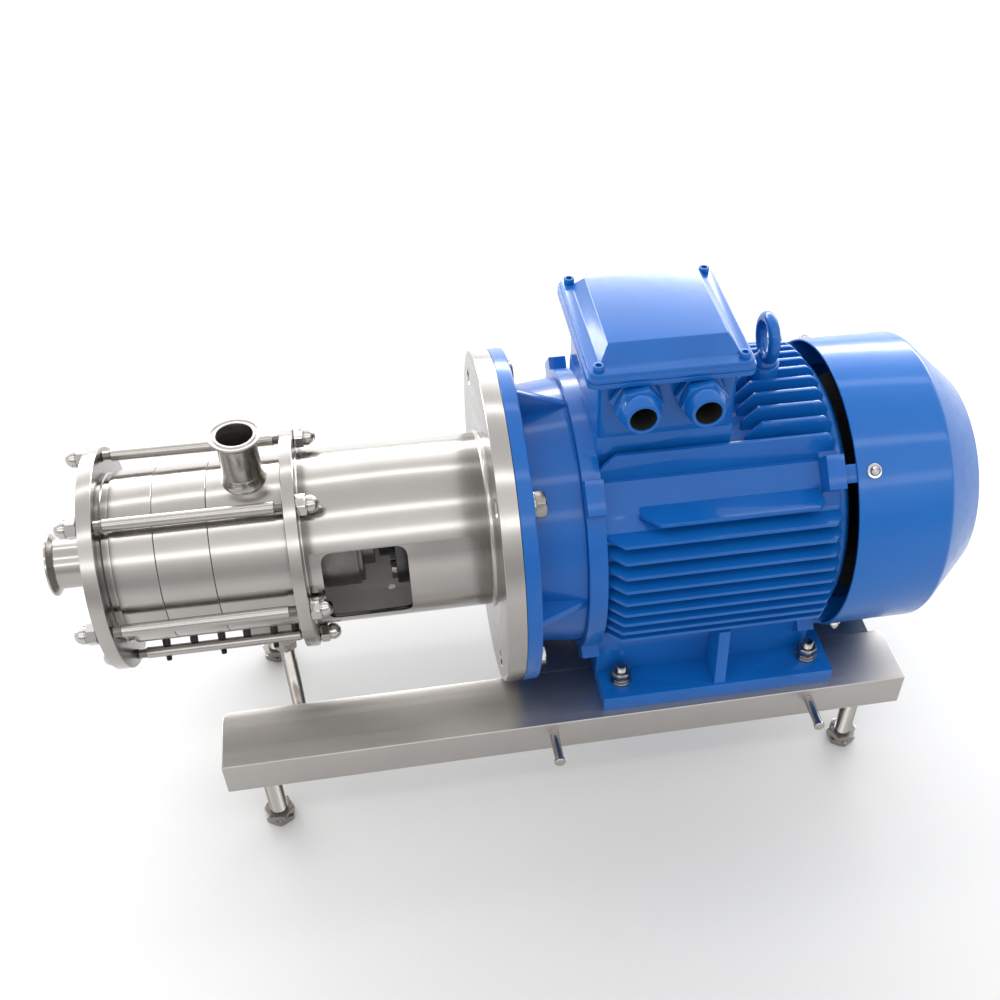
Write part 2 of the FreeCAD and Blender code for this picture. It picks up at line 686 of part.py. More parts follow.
def make_lantern():
    """Lantern tube with its inspection window, and the adapter flange."""
    x0 = REAR_PLATE_X1
    x1 = -ADAPTER_T
    tube = turned([(x0, LANTERN_R - LANTERN_T), (x0, LANTERN_R + REAR_WELD), (x0 + WELD, LANTERN_R),
                   (x1 - WELD, LANTERN_R), (x1, LANTERN_R + WELD), (x1, LANTERN_R - LANTERN_T)])
    window = block(WINDOW_X0, WINDOW_X1, -LANTERN_R - 9, -SEAL_HOUSING_R + 2, WINDOW_Z0, WINDOW_Z1)
    upright = [e for e in window.Edges if e.BoundBox.YLength > 20]
    window = window.makeFillet(WINDOW_CORNER, upright)
    tube = tube.cut(window)
    tube = tube.cut(post(DRAIN_X, 0, -LANTERN_R - 5, -LANTERN_R + LANTERN_T + 5, DRAIN_R))
    save("lantern_tube", [tube])
    flange = chamfer_rim(rod(-ADAPTER_T, 0, FLANGE_D / 2), FLANGE_D / 2, 1.0)
    flange = flange.cut(rod(-SPIGOT_PROUD - BOLT_PLAY, 1, FLANGE_SPIGOT_D / 2 + SEAT))
    flange = flange.cut(rod(-ADAPTER_T - 1, 1, LANTERN_R - LANTERN_T))
    flange = drill(flange, flange_angles(), FLANGE_PCD / 2, FLANGE_BOLT_R + SEAT, -ADAPTER_T, 0)
    save("adapter_flange", [flange])


def make_coupling():
    """Flanged coupling: a half on each shaft, joined by bolts."""
    joint = COUPLING_JOINT_X
    bolt_angles = [k * 360.0 / COUPLING_BOLTS + 15 for k in range(COUPLING_BOLTS)]
    front = joint - COUPLING_FLANGE_T
    pump_half = turned([(COUPLING_PUMP_X0, PUMP_SHAFT_BACK_R + SEAT), (COUPLING_PUMP_X0, COUPLING_HUB_R - 4),
                        (front, COUPLING_HUB_R - 4), (front, COUPLING_R), (joint, COUPLING_R),
                        (joint, MOTOR_SHAFT_D / 2 + BOLT_PLAY),
                        (joint - MOTOR_END_RECESS - 1, MOTOR_SHAFT_D / 2 + BOLT_PLAY),
                        (joint - MOTOR_END_RECESS - 1, PUMP_SHAFT_BACK_R + SEAT)])
    motor_half = turned([(joint, MOTOR_SHAFT_D / 2 + SEAT), (joint, COUPLING_R),
                         (joint + COUPLING_FLANGE_T, COUPLING_R), (joint + COUPLING_FLANGE_T, COUPLING_HUB_R),
                         (COUPLING_MOTOR_X1, COUPLING_HUB_R), (COUPLING_MOTOR_X1, MOTOR_SHAFT_D / 2 + SEAT)])
    bolts = []
    x0 = joint - COUPLING_FLANGE_T
    x1 = joint + COUPLING_FLANGE_T
    halves = []
    for half in (pump_half, motor_half):
        halves.append(drill(half, bolt_angles, COUPLING_PCD / 2, COUPLING_BOLT_R + 0.3, x0, x1))
    save("coupling_halves", halves)
    for angle in bolt_angles:
        y, z = polar(angle, COUPLING_PCD / 2)
        head = hexagon(COUPLING_BOLT_AF, COUPLING_HEAD_T, V(x0, y, z), V(-1, 0, 0))
        nut = hexagon(COUPLING_BOLT_AF, COUPLING_NUT_T, V(x1, y, z), AXIS_X)
        bolts.append(merge([head, rod(x0 - 1, x1 + COUPLING_TAIL, COUPLING_BOLT_R, y, z), nut]))
    save("coupling_bolts", bolts)


def fin_reach(height):
    """Distance from the shaft plane at which a fin meets the tip circle."""
    return math.sqrt(FIN_R ** 2 - height ** 2)


def side_fin(z, side, x0, x1, thickness, tip):
    """Fin that lies flat beside the body, with its ends cut back."""
    y0 = side * (BODY_R - 40)
    y1 = side * tip
    cut = FIN_CHAMFER
    corners = [V(x0, y0, z), V(x0, y1 - side * cut, z), V(x0 + cut, y1, z), V(x1 - cut * 0.5, y1, z),
               V(x1, y1 - side * cut * 0.5, z), V(x1, y0, z)]
    return prism(corners, V(0, 0, thickness))


def top_fin(y, x0, x1, top):
    """Fin that stands on the body, with its ends cut back."""
    z0 = math.sqrt(BODY_R ** 2 - y ** 2) - 6
    cut = FIN_CHAMFER
    corners = [V(x0, y, z0), V(x0, y, top - cut), V(x0 + cut, y, top), V(x1 - cut * 0.5, y, top),
               V(x1, y, top - cut * 0.5), V(x1, y, z0)]
    return prism(corners, V(0, FIN_T, 0))


def make_motor_frame():
    """Cast frame: a round body with end rings, side and top fins, lugs, feet and the terminal pad."""
    parts = [rod(BODY_X0, BODY_X1, BODY_R)]
    parts.append(rod(BODY_X0, BODY_X0 + END_RING_L, END_RING_R))
    parts.append(rod(BODY_X1 - END_RING_L, BODY_X1, END_RING_R))
    for side in (-1, 1):
        for k in range(SIDE_FINS):
            z = SIDE_FIN_TOP - k * FIN_PITCH
            parts.append(side_fin(z - FIN_T / 2, side, FIN_X0, FIN_X1, FIN_T, fin_reach(z)))
        z = SIDE_FIN_TOP + FIN_PITCH
        low = z - CORNER_FIN_T / 2
        parts.append(side_fin(low, side, CORNER_FIN_X0, CORNER_FIN_X1, CORNER_FIN_T, fin_reach(z)))
        parts.append(corner_pad(side))
        parts += foot_shapes(side)
    for k in range(TOP_FINS):
        y = (k - (TOP_FINS - 1) / 2) * TOP_FIN_PITCH
        x0 = FIN_X0 if abs(y) > BOX_W / 2 else BOX_X + BOX_L / 2 + END_RING_L
        parts.append(top_fin(y - FIN_T / 2, x0, FIN_X1, fin_reach(abs(y) + FIN_T / 2)))
    parts.append(block(BOX_X - BOX_L / 2, BOX_X + BOX_L / 2, -BOX_W / 2, BOX_W / 2, CORNER_PAD_OUT[1], PAD_Z))
    parts.append(post(EYE_X, 0, BODY_R - FIN_CHAMFER, EYE_BASE_Z, EYE_BOSS_R))
    parts += end_lugs()
    frame = merge(parts)
    frame = frame.cut(rod(BODY_X0 - 1, BODY_X1 + 1, BODY_R - BODY_WALL))
    frame = frame.cut(post(BOX_X, 0, CORNER_PAD_IN, PAD_Z + 1, CABLE_HOLE_R))
    frame = frame.cut(post(EYE_X, 0, EYE_BASE_Z - EYE_SHANK_L - 1, EYE_BASE_Z + 1, EYE_BAR_R + SEAT))
    for x in foot_hole_x():
        for side in (-1, 1):
            y = side * FOOT_SPAN / 2
            frame = frame.cut(post(x, y, RAIL_TOP - 1, RAIL_TOP + FOOT_T + 1, FOOT_HOLE_D / 2))
    save("motor_frame", [frame])


def corner_pad(side):
    """Sloped web between the side fins and the top fins."""
    x0 = FIN_X0 - 1
    y0, z0 = CORNER_PAD_OUT
    y1, z1 = CORNER_PAD_TOP
    corners = [V(x0, side * y0, z0), V(x0, side * y1, z1), V(x0, side * CORNER_PAD_IN, z1),
               V(x0, side * CORNER_PAD_IN, z0)]
    return prism(corners, V(FIN_X1 - x0, 0, 0))


def foot_shapes(side):
    """One foot: the flat bar, the leg that carries it and the web in the middle."""
    x0 = BODY_MID_X - FOOT_L / 2
    x1 = BODY_MID_X + FOOT_L / 2
    outer = side * (FOOT_SPAN / 2 + FOOT_OUT)
    inner = side * (FOOT_SPAN / 2 + FOOT_OUT - FOOT_W)
    bar = block(x0, x1, min(inner, outer), max(inner, outer), RAIL_TOP, RAIL_TOP + FOOT_T)
    leg_out = side * (FOOT_SPAN / 2 - LEG_IN)
    leg_in = side * (FOOT_SPAN / 2 - LEG_IN - LEG_T)
    leg = block(BODY_X0 + END_RING_L, BODY_X1, min(leg_in, leg_out), max(leg_in, leg_out), RAIL_TOP, LEG_TOP)
    web_x = BODY_MID_X - GUSSET_T / 2
    web_top = side * math.sqrt(FIN_R ** 2 - GUSSET_TOP ** 2)
    corners = [V(web_x, leg_in, RAIL_TOP + 1), V(web_x, leg_in, GUSSET_TOP), V(web_x, web_top, GUSSET_TOP),
               V(web_x, outer - side * 2, RAIL_TOP + FOOT_T), V(web_x, outer - side * 2, RAIL_TOP + 1)]
    return [bar, leg, prism(corners, V(GUSSET_T, 0, 0))]


def end_lugs():
    """Square lugs at both ends of the body, where the end shields are bolted."""
    lugs = []
    for angle in flange_angles():
        for x0 in (BODY_X0, BODY_X1 - END_RING_L):
            lug = block(x0, x0 + END_RING_L, -LUG_W / 2, LUG_W / 2, LUG_R - LUG_DEPTH, LUG_R)
            lugs.append(around(lug, angle))
    return lugs


def make_end_shields():
    """Drive end bell with the big flange and ribs, and the plain shield at the fan end."""
    bore = BEARING_D / 2 + SEAT
    spigot = BODY_R - BODY_WALL - SEAT
    inner = BELL_R - BELL_DEPTH
    web_x = FLANGE_T + BELL_WALL
    seat_x = BEARING_X[0] + BEARING_W
    bell = turned([(0, FLANGE_SPIGOT_D / 2), (0, FLANGE_D / 2), (FLANGE_T, FLANGE_D / 2), (FLANGE_T, BELL_R),
                   (BELL_X1, BELL_R + BELL_RISE), (BODY_X0, BELL_R + BELL_RISE), (BODY_X0, spigot),
                   (BODY_X0 + SHIELD_SPIGOT, spigot), (BODY_X0 + SHIELD_SPIGOT, inner), (web_x, inner),
                   (web_x, bore + 2 * BELL_WALL), (seat_x, bore + BELL_WALL), (seat_x, bore),
                   (BEARING_X[0], bore), (BEARING_X[0], SHAFT_EXIT_R), (-SPIGOT_PROUD, SHAFT_EXIT_R),
                   (-SPIGOT_PROUD, FLANGE_SPIGOT_D / 2)])
    half = RIB_T / 2
    rib = prism([V(FLANGE_T - 1, -half, BELL_R - RIB_EDGE), V(FLANGE_T - 1, -half, FLANGE_D / 2 - RIB_EDGE),
                 V(BODY_X0, -half, BELL_R + BELL_RISE), V(BODY_X0, -half, BELL_R - RIB_EDGE)], V(0, RIB_T, 0))
    bell = merge([bell] + [around(rib, angle) for angle in (0, 90, 180, 270)])
    bell = drill(bell, flange_angles(), FLANGE_PCD / 2, FLANGE_HOLE_D / 2, 0, FLANGE_T)
    save("drive_end_shield", [bell])
    x1 = BODY_X1 + SHIELD_T
    rear_x0, rear_x1 = BEARING_X[1], BEARING_X[1] + REAR_BEARING_W
    seat = REAR_BEARING_D / 2 + SEAT
    rim = BODY_R + SHIELD_PROUD
    inside = spigot - SHIELD_WALL
    rear = turned([(BODY_X1, rim), (x1 - SHIELD_SPIGOT, rim), (x1, rim - SHIELD_WALL), (x1, REAR_HUB_R),
                   (x1 + SHIELD_WALL, REAR_HUB_R), (x1 + SHIELD_WALL, REAR_EXIT_R), (rear_x1, REAR_EXIT_R),
                   (rear_x1, seat), (rear_x0, seat), (rear_x0, REAR_HUB_R), (BODY_X1 + 2, REAR_HUB_R),
                   (BODY_X1 + 2, inside), (BODY_X1 - SHIELD_SPIGOT, inside),
                   (BODY_X1 - SHIELD_SPIGOT, spigot), (BODY_X1, spigot)])
    boss_x1 = 2 * COVER_SCREW_X - COVER_X0
    boss_top = math.sqrt((COVER_R - COVER_T - SEAT) ** 2 - (COVER_BOSS_W / 2) ** 2)
    for angle in COVER_SCREW_ANGLES:
        boss = block(BODY_X1, boss_x1, -COVER_BOSS_W / 2, COVER_BOSS_W / 2, rim - SHIELD_T, boss_top)
        rear = rear.fuse(around(boss, angle))
        rear = rear.cut(cover_screw_bar(angle, rim - SHIELD_SPIGOT, COVER_R + 5, COVER_SCREW_R + SEAT))
    save("rear_end_shield", [rear.removeSplitter()])


def cover_screw_bar(angle, r0, r1, r):
    """Round bar along the radius at a fan cover screw."""
    y, z = polar(angle, 1)
    return Part.makeCylinder(r, r1 - r0, V(COVER_SCREW_X, y * r0, z * r0), V(0, y, z))


def make_motor_insides():
    """Stator core, windings, motor shaft, rotor core, bearings and the cooling fan."""
    core_x0 = BODY_MID_X - CORE_L / 2
    core_x1 = BODY_MID_X + CORE_L / 2
    bore = BODY_R - BODY_WALL
    save("stator_core", [ring(core_x0, core_x1, bore - SEAT, CORE_BORE_R)])
    coil = (bore - WINDING_CLEAR, CORE_BORE_R + WINDING_WALL)
    save("windings", [ring(core_x0 - WINDING_L, core_x0, *coil), ring(core_x1, core_x1 + WINDING_L, *coil)])
    save("rotor_core", [ring(core_x0, core_x1, CORE_BORE_R - AIR_GAP, CORE_SHAFT_R + SEAT)])
    tail = FAN_X1 + BLADE_T
    half = BEARING_BORE / 2
    front_x1 = BEARING_X[0] + BEARING_W
    rear_x1 = BEARING_X[1] + REAR_BEARING_W
    end_r = MOTOR_SHAFT_D / 2
    shaft = turned([(-MOTOR_SHAFT_L, 0), (-MOTOR_SHAFT_L, end_r - 1), (1 - MOTOR_SHAFT_L, end_r), (0, end_r),
                    (0, half), (front_x1, half), (front_x1, CORE_SHAFT_R), (BEARING_X[1], CORE_SHAFT_R),
                    (BEARING_X[1], half), (rear_x1, half), (rear_x1, FAN_SHAFT_R), (tail, FAN_SHAFT_R),
                    (tail, 0)])
    save("motor_shaft", [shaft])
    inner = []
    outer = []
    widths = (BEARING_W, REAR_BEARING_W)
    sizes = (BEARING_D, REAR_BEARING_D)
    for x0, width, out_d, race in zip(BEARING_X, widths, sizes, RACE_T):
        inner.append(ring(x0, x0 + width, half + race, half + SEAT))
        outer.append(ring(x0, x0 + width, out_d / 2, half + race + RACE_GAP))
    save("bearing_inner_rings", inner)
    save("bearing_outer_rings", outer)
    fan_x0 = FAN_X1 - FAN_L
    pieces = [ring(fan_x0, FAN_X1, FAN_HUB_R, FAN_SHAFT_R + SEAT),
              ring(fan_x0, fan_x0 + FAN_DISC_T, FAN_R, FAN_HUB_R - 1)]
    for k in range(FAN_BLADES):
        blade = block(fan_x0 + 1, FAN_X1, -BLADE_T / 2, BLADE_T / 2, FAN_HUB_R - 1, FAN_R)
        pieces.append(around(blade, 360.0 / FAN_BLADES * k))
    save("cooling_fan", [merge(pieces)])


def make_fan_cover():
    """Pressed fan cover: a cylinder, a cone and a slotted end, held by four screws."""
    t = COVER_T
    cover = turned([(COVER_X0, COVER_R - t), (COVER_X0, COVER_R), (COVER_X1, COVER_R),
                    (COVER_END_X, COVER_END_R), (COVER_END_X, 0), (COVER_END_X - t, 0),
                    (COVER_END_X - t, COVER_END_R - t * 0.6), (COVER_X1 - t * 0.4, COVER_R - t)])
    for (r0, r1), count in zip(GRILLE_RINGS, GRILLE_COUNTS):
        for k in range(count):
            slot = block(COVER_END_X - t - 1, COVER_END_X + 1, -GRILLE_SLOT_W / 2, GRILLE_SLOT_W / 2, r0, r1)
            cover = cover.cut(around(slot, 360.0 / count * k))
    for angle in COVER_SCREW_ANGLES:
        cover = cover.cut(cover_screw_bar(angle, COVER_R - 8, COVER_R + 8, COVER_SCREW_R + BOLT_PLAY))
    save("fan_cover", [cover])
    screws = []
    for angle in COVER_SCREW_ANGLES:
        shank = cover_screw_bar(angle, BODY_R + SHIELD_PROUD, COVER_R + 1, COVER_SCREW_R)
        y, z = polar(angle, 1)
        seat = COVER_R + 0.3
        washer = cover_screw_bar(angle, seat, seat + 1.6, 7.5)
        head = cover_screw_bar(angle, seat + 1.6, seat + 7, 5.0)
        socket = hexagon(5, 4, V(COVER_SCREW_X, y * (seat + 4), z * (seat + 4)), V(0, y, z))
        screws.append(merge([shank, washer, head]).cut(socket))
    save("fan_cover_screws", screws)


def lid_screw_places():
    """X and Y of the four lid screws."""
    dx = LID_L / 2 - LID_SCREW_IN
    dy = LID_W / 2 - LID_SCREW_IN
    return [(BOX_X + i * dx, j * dy) for i in (-1, 1) for j in (-1, 1)]


def make_terminal_box():
    """Terminal box, its lid and screws, the glands and the terminal board."""
    x0 = BOX_X - BOX_L / 2
    x1 = BOX_X + BOX_L / 2
    w = BOX_W / 2
    floor = PAD_Z + BOX_WALL
    rim = rounded_plate(BOX_TOP - BOX_RIM_T, BOX_TOP)
    box = merge([block(x0, x1, -w, w, PAD_Z, BOX_TOP), rim])
    box = box.cut(block(x0 + BOX_WALL, x1 - BOX_WALL, -w + BOX_WALL, w - BOX_WALL, floor, BOX_TOP + 1))
    box = box.cut(post(BOX_X, 0, PAD_Z - 1, floor + 1, CABLE_HOLE_R))
    for x, y in lid_screw_places():
        box = box.cut(post(x, y, BOX_TOP - BOX_RIM_T - 1, BOX_TOP + 1, LID_SCREW_R + SEAT))
    for x in gland_places():
        box = box.cut(Part.makeCylinder(GLAND_NECK_R + SEAT, BOX_WALL + 2, V(x, -w - 1, GLAND_Z), AXIS_Y))
    save("terminal_box", [box])
    lid_top = BOX_TOP + LID_RIM_T
    foot_l = LID_L - 2 * LID_PANEL_FOOT[0]
    foot_w = LID_W - 2 * LID_PANEL_FOOT[1]
    t = LID_WALL
    panel = frustum(BOX_X, 0, lid_top, LID_PANEL_Z, foot_l, foot_w, LID_PANEL_L, LID_PANEL_W)
    hollow = frustum(BOX_X, 0, BOX_TOP - 0.01, LID_PANEL_Z - t, foot_l - 3 * t, foot_w - 3 * t,
                     LID_PANEL_L - 2 * t, LID_PANEL_W - 2 * t)
    lid = merge([rounded_plate(BOX_TOP, lid_top), panel]).cut(hollow)
    for x, y in lid_screw_places():
        lid = lid.cut(post(x, y, BOX_TOP - 1, lid_top + 1, LID_SCREW_R + BOLT_PLAY))
    save("terminal_lid", [lid])
    screws = []
    head_r, head_h = LID_HEAD
    for x, y in lid_screw_places():
        shank = post(x, y, BOX_TOP - BOX_RIM_T, lid_top, LID_SCREW_R)
        head = post(x, y, lid_top, lid_top + head_h, head_r)
        socket = hexagon(head_r - 0.5, head_h, V(x, y, lid_top + head_h * 0.6), AXIS_Z)
        screws.append(merge([shank, head]).cut(socket))
    save("lid_screws", screws)
    glands = []
    nut_af, nut_t = GLAND_NUT
    for x in gland_places():
        glands.append(make_gland(x, -w))
        nut = hexagon(nut_af, nut_t, V(x, -w + BOX_WALL, GLAND_Z), AXIS_Y)
        hole = Part.makeCylinder(GLAND_NECK_R + SEAT, 2 * BOX_WALL + nut_t, V(x, -w, GLAND_Z), AXIS_Y)
        glands.append(nut.cut(hole))
    save("cable_glands", glands)
    board_l, board_t = BOARD
    board = block(BOX_X - board_l / 2, BOX_X + board_l / 2, *BOARD_Y, floor, floor + board_t)
    studs = [post(BOX_X + i * BOARD_STUD_PITCH, y, floor + board_t - 1, floor + BOARD_STUD_TOP, BOARD_STUD_R)
             for i in (-1, 0, 1) for y in BOARD_STUD_Y]
    save("terminal_board", [merge([board] + studs)])


def rounded_plate(z0, z1):
    """Plate of the lid's outline between two heights, with round corners."""
    plate = block(BOX_X - LID_L / 2, BOX_X + LID_L / 2, -LID_W / 2, LID_W / 2, z0, z1)
    corners = [e for e in plate.Edges if e.BoundBox.ZLength > z1 - z0 - 0.1]
    return plate.makeFillet(LID_CORNER, corners)


def gland_places():
    """X of the two cable glands."""
    return [BOX_X - GLAND_PITCH / 2 - 1, BOX_X + GLAND_PITCH / 2 - 1]


def make_gland(x, face_y):
    """Cable gland: threaded neck, hexagon collar and a round cap, with the cable's bore."""
    out = V(0, -1, 0)
    collar_af, collar_t = GLAND_COLLAR
    grip_af, grip_t = GLAND_GRIP
    cap_r, cap_l = GLAND_CAP
    grip_y = face_y - collar_t
    cap_y = grip_y - grip_t
    neck = Part.makeCylinder(GLAND_NECK_R, BOX_WALL + GLAND_NUT[1] + 1, V(x, face_y - 1, GLAND_Z), AXIS_Y)
    collar = hexagon(collar_af, collar_t, V(x, face_y, GLAND_Z), out)
    grip = hexagon(grip_af, grip_t, V(x, grip_y, GLAND_Z), out)
    cap = Part.makeCone(GLAND_NECK_R, cap_r, cap_l, V(x, cap_y, GLAND_Z), out)
    body = merge([neck, collar, grip, cap])
    reach = GLAND_NECK_R + collar_t + grip_t + cap_l
    return body.cut(Part.makeCylinder(GLAND_BORE_D / 2, reach + 20, V(x, face_y + 20, GLAND_Z), out))


def frustum(x, y, z0, z1, l0, w0, l1, w1):
    """Tapered block between two rectangles."""
    wires = []
    for z, half_l, half_w in ((z0, l0 / 2, w0 / 2), (z1, l1 / 2, w1 / 2)):
        corners = [V(x - half_l, y - half_w, z), V(x + half_l, y - half_w, z), V(x + half_l, y + half_w, z),
                   V(x - half_l, y + half_w, z)]
        wires.append(Part.makePolygon(corners + corners[:1]))
    return Part.makeLoft(wires, True, True)


def make_eyebolt():
    """Lifting eye: a ring across the shaft, a collar and the threaded shank."""
    centre = EYE_BASE_Z + EYE_COLLAR_H + EYE_RING_R
    eye = Part.makeTorus(EYE_RING_R, EYE_BAR_R, V(EYE_X, 0, centre), AXIS_X)
    collar = Part.makeCone(EYE_BOSS_R - 2, EYE_BAR_R + 3, EYE_COLLAR_H, V(EYE_X, 0, EYE_BASE_Z), AXIS_Z)
    shank = post(EYE_X, 0, EYE_BASE_Z - EYE_SHANK_L, EYE_BASE_Z + 1, EYE_BAR_R)
    save("eyebolt", [merge([eye, collar, shank])])


def make_fasteners():
    """Flange bolts and the bolts and nuts that hold the motor feet."""
    bolts = []
    for angle in flange_angles():
        y, z = polar(angle, FLANGE_PCD / 2)
        seat = FLANGE_T + FLANGE_WASHER_T
        washer = rod(FLANGE_T, seat, FLANGE_WASHER_R, y, z)
        head = hexagon(FLANGE_BOLT_AF, FLANGE_BOLT_HEAD, V(seat, y, z), AXIS_X)
        shank = rod(-ADAPTER_T, seat + 1, FLANGE_BOLT_R, y, z)
        bolts.append(merge([washer, head, shank]))
    save("flange_bolts", bolts)
    bolts = []
    nuts = []
    top = RAIL_TOP + FOOT_T
    for x in foot_hole_x():
        for side in (-1, 1):
            y = side * FOOT_SPAN / 2
            under = RAIL_TOP - RAIL_T
            head = hexagon(FOOT_BOLT_AF, FOOT_HEAD_T, V(x, y, under), V(0, 0, -1))
            bolts.append(merge([head, post(x, y, under - 1, top + FOOT_TAIL, FOOT_BOLT_R)]))
            bore = post(x, y, top - 1, top + FOOT_TAIL + 1, FOOT_BOLT_R + SEAT)
            flat_top = top + FOOT_WASHER[1]
            spring_top = flat_top + FOOT_SPRING[1]
            washer = post(x, y, top, flat_top, FOOT_WASHER[0]).cut(bore)
            spring = post(x, y, flat_top, spring_top, FOOT_SPRING[0]).cut(bore)
            nut = hexagon(FOOT_BOLT_AF, FOOT_NUT_T, V(x, y, spring_top), AXIS_Z).cut(bore)
            nuts += [washer, spring, nut]
    save("foot_bolts", bolts)
    save("foot_nuts", nuts)


def make_support():
    """Saddle under the discharge casing with its adjustable foot."""
    x0, x1 = SUPPORT_X + SADDLE_X[0], SUPPORT_X + SADDLE_X[1]
    saddle = block(x0, x1, -SADDLE_W / 2, SADDLE_W / 2, SADDLE_Z, -CASING_BORE_R)
    saddle = merge([saddle, post(SUPPORT_X, 0, BOSS_END_Z, SADDLE_Z + 1, SUPPORT_BOSS_R)])
    saddle = saddle.cut(rod(x0 - 1, x1 + 1, CASING_R))
    saddle = saddle.cut(post(SUPPORT_X, 0, BOSS_END_Z - 1, -CASING_R - SUPPORT_ROOM, SUPPORT_STUD_R + RUN))
    save("pump_support", [saddle])
    nut = hexagon(SUPPORT_NUT_AF, SUPPORT_NUT_T, V(SUPPORT_X, 0, BOSS_END_Z), V(0, 0, -1))
    nut = nut.cut(post(SUPPORT_X, 0, BOSS_END_Z - 40, BOSS_END_Z + 1, SUPPORT_STUD_R + RUN))
    save("support_lock_nut", [nut])
    foot = hexagon(SUPPORT_FOOT_AF, SUPPORT_FOOT_T, V(SUPPORT_X, 0, FLOOR_Z), AXIS_Z)
    cone = Part.makeCone(SUPPORT_FOOT_AF / 2, SUPPORT_STUD_R + 1, SUPPORT_CONE,
                         V(SUPPORT_X, 0, FLOOR_Z + SUPPORT_FOOT_T), AXIS_Z)
    stud = post(SUPPORT_X, 0, FLOOR_Z, -CASING_R - SUPPORT_ROOM - LEVEL_TRAVEL, SUPPORT_STUD_R)
    save("support_foot", [merge([foot, cone, stud])])


make_base()
make_plates()
make_housings()
make_rods()
first_hub, last_hub = make_stages()
make_pump_shaft(first_hub, last_hub)
make_seal()
make_lantern()
make_coupling()
make_motor_frame()
make_end_shields()
make_motor_insides()
make_fan_cover()
make_terminal_box()
make_eyebolt()
make_fasteners()
make_support()
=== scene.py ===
"""High shear emulsifying pump: dresses the frame of the pump and sets floor, light and camera.

Sizes are in millimetres from the joint between the adapter flange and the motor, on the shaft's axis:
x runs along the shaft towards the fan, y away from the viewer, z up. Angles round the shaft are in
degrees from the top towards the near side.
"""
import json
import logging
import math
from dataclasses import dataclass, field
from enum import Enum
from typing import Callable, Sequence

import bpy
from mathutils import Matrix, Vector


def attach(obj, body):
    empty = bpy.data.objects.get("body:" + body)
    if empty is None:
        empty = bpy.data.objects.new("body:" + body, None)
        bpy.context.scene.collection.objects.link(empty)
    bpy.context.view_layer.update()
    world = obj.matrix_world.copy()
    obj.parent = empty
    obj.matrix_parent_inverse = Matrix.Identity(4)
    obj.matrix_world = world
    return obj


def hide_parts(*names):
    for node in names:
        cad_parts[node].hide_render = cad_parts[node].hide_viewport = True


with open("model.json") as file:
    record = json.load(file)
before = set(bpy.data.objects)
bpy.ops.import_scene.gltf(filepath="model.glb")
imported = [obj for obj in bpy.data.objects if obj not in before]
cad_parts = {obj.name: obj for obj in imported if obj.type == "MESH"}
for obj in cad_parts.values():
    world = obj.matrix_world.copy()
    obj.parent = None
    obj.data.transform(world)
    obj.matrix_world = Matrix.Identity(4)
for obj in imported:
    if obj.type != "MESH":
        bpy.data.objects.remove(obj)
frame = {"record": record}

LOG = logging.getLogger("pump")
MM = 0.001
NEAR_ENOUGH = 0.00001
DOUBLES = 0.000003
CORNER_SLOPE = 0.58
SIDES = (-1, 1)
DIAGONALS = (45.0, 135.0, 225.0, 315.0)
UP = (0, 0, 1)
INWARD = (-1, 0, 0)
NEARWARD = (0, -1, 0)
Point = tuple[float, float]
Place = tuple[float, float, float]
Colour = tuple[float, float, float]
FaceTest = Callable[[bpy.types.MeshPolygon], bool]


def shaft_datum() -> Vector:
    """Place of the flange joint on the shaft's axis, in metres.

    Returns:
        The point from which every size in this file is taken.
    """
    for joint in frame["record"]["behaviour"]["joints"]:
        if joint["name"] == "rotor_spin":
            return Vector(joint["pos_m"])
    raise RuntimeError("the frame has no rotor_spin joint")


DATUM = shaft_datum()


class Body(Enum):
    """Bodies that a piece can ride on."""

    STAND = "stand"
    ROTATING = "rotating_set"
    FOOT_1 = "levelling_foot_1_body"
    FOOT_2 = "levelling_foot_2_body"
    FOOT_3 = "levelling_foot_3_body"
    FOOT_4 = "levelling_foot_4_body"
    SUPPORT = "support_foot_body"


class Slot(Enum):
    """Material slots of the record that the dressed pieces use."""

    STAINLESS = "stainless"
    BRIGHT = "bright_steel"
    BLUE = "blue_paint"
    IRON = "coupling_iron"
    DARK = "locating_dark"
    RUBBER = "seal_rubber"


class Plane(Enum):
    """Plane in which an outline is drawn."""

    LEVEL = "xy"
    ALONG = "xz"
    ACROSS = "yz"


class Axis(Enum):
    """Axis that a bored face looks at."""

    SHAFT = (1, 0, 0)
    UPRIGHT = (0, 0, 1)


class Work(Enum):
    """What one piece does to another."""

    CUT = "DIFFERENCE"
    JOIN = "UNION"
    TRIM = "INTERSECT"


class Grain(Enum):
    """Way that the tool marks run on a metal face."""

    ALONG = "along the shaft"
    ACROSS = "across the shaft"
    ROUND = "round the shaft"
    UPRIGHT = "round an upright axis"
    PLAIN = "no direction"


# Finishes

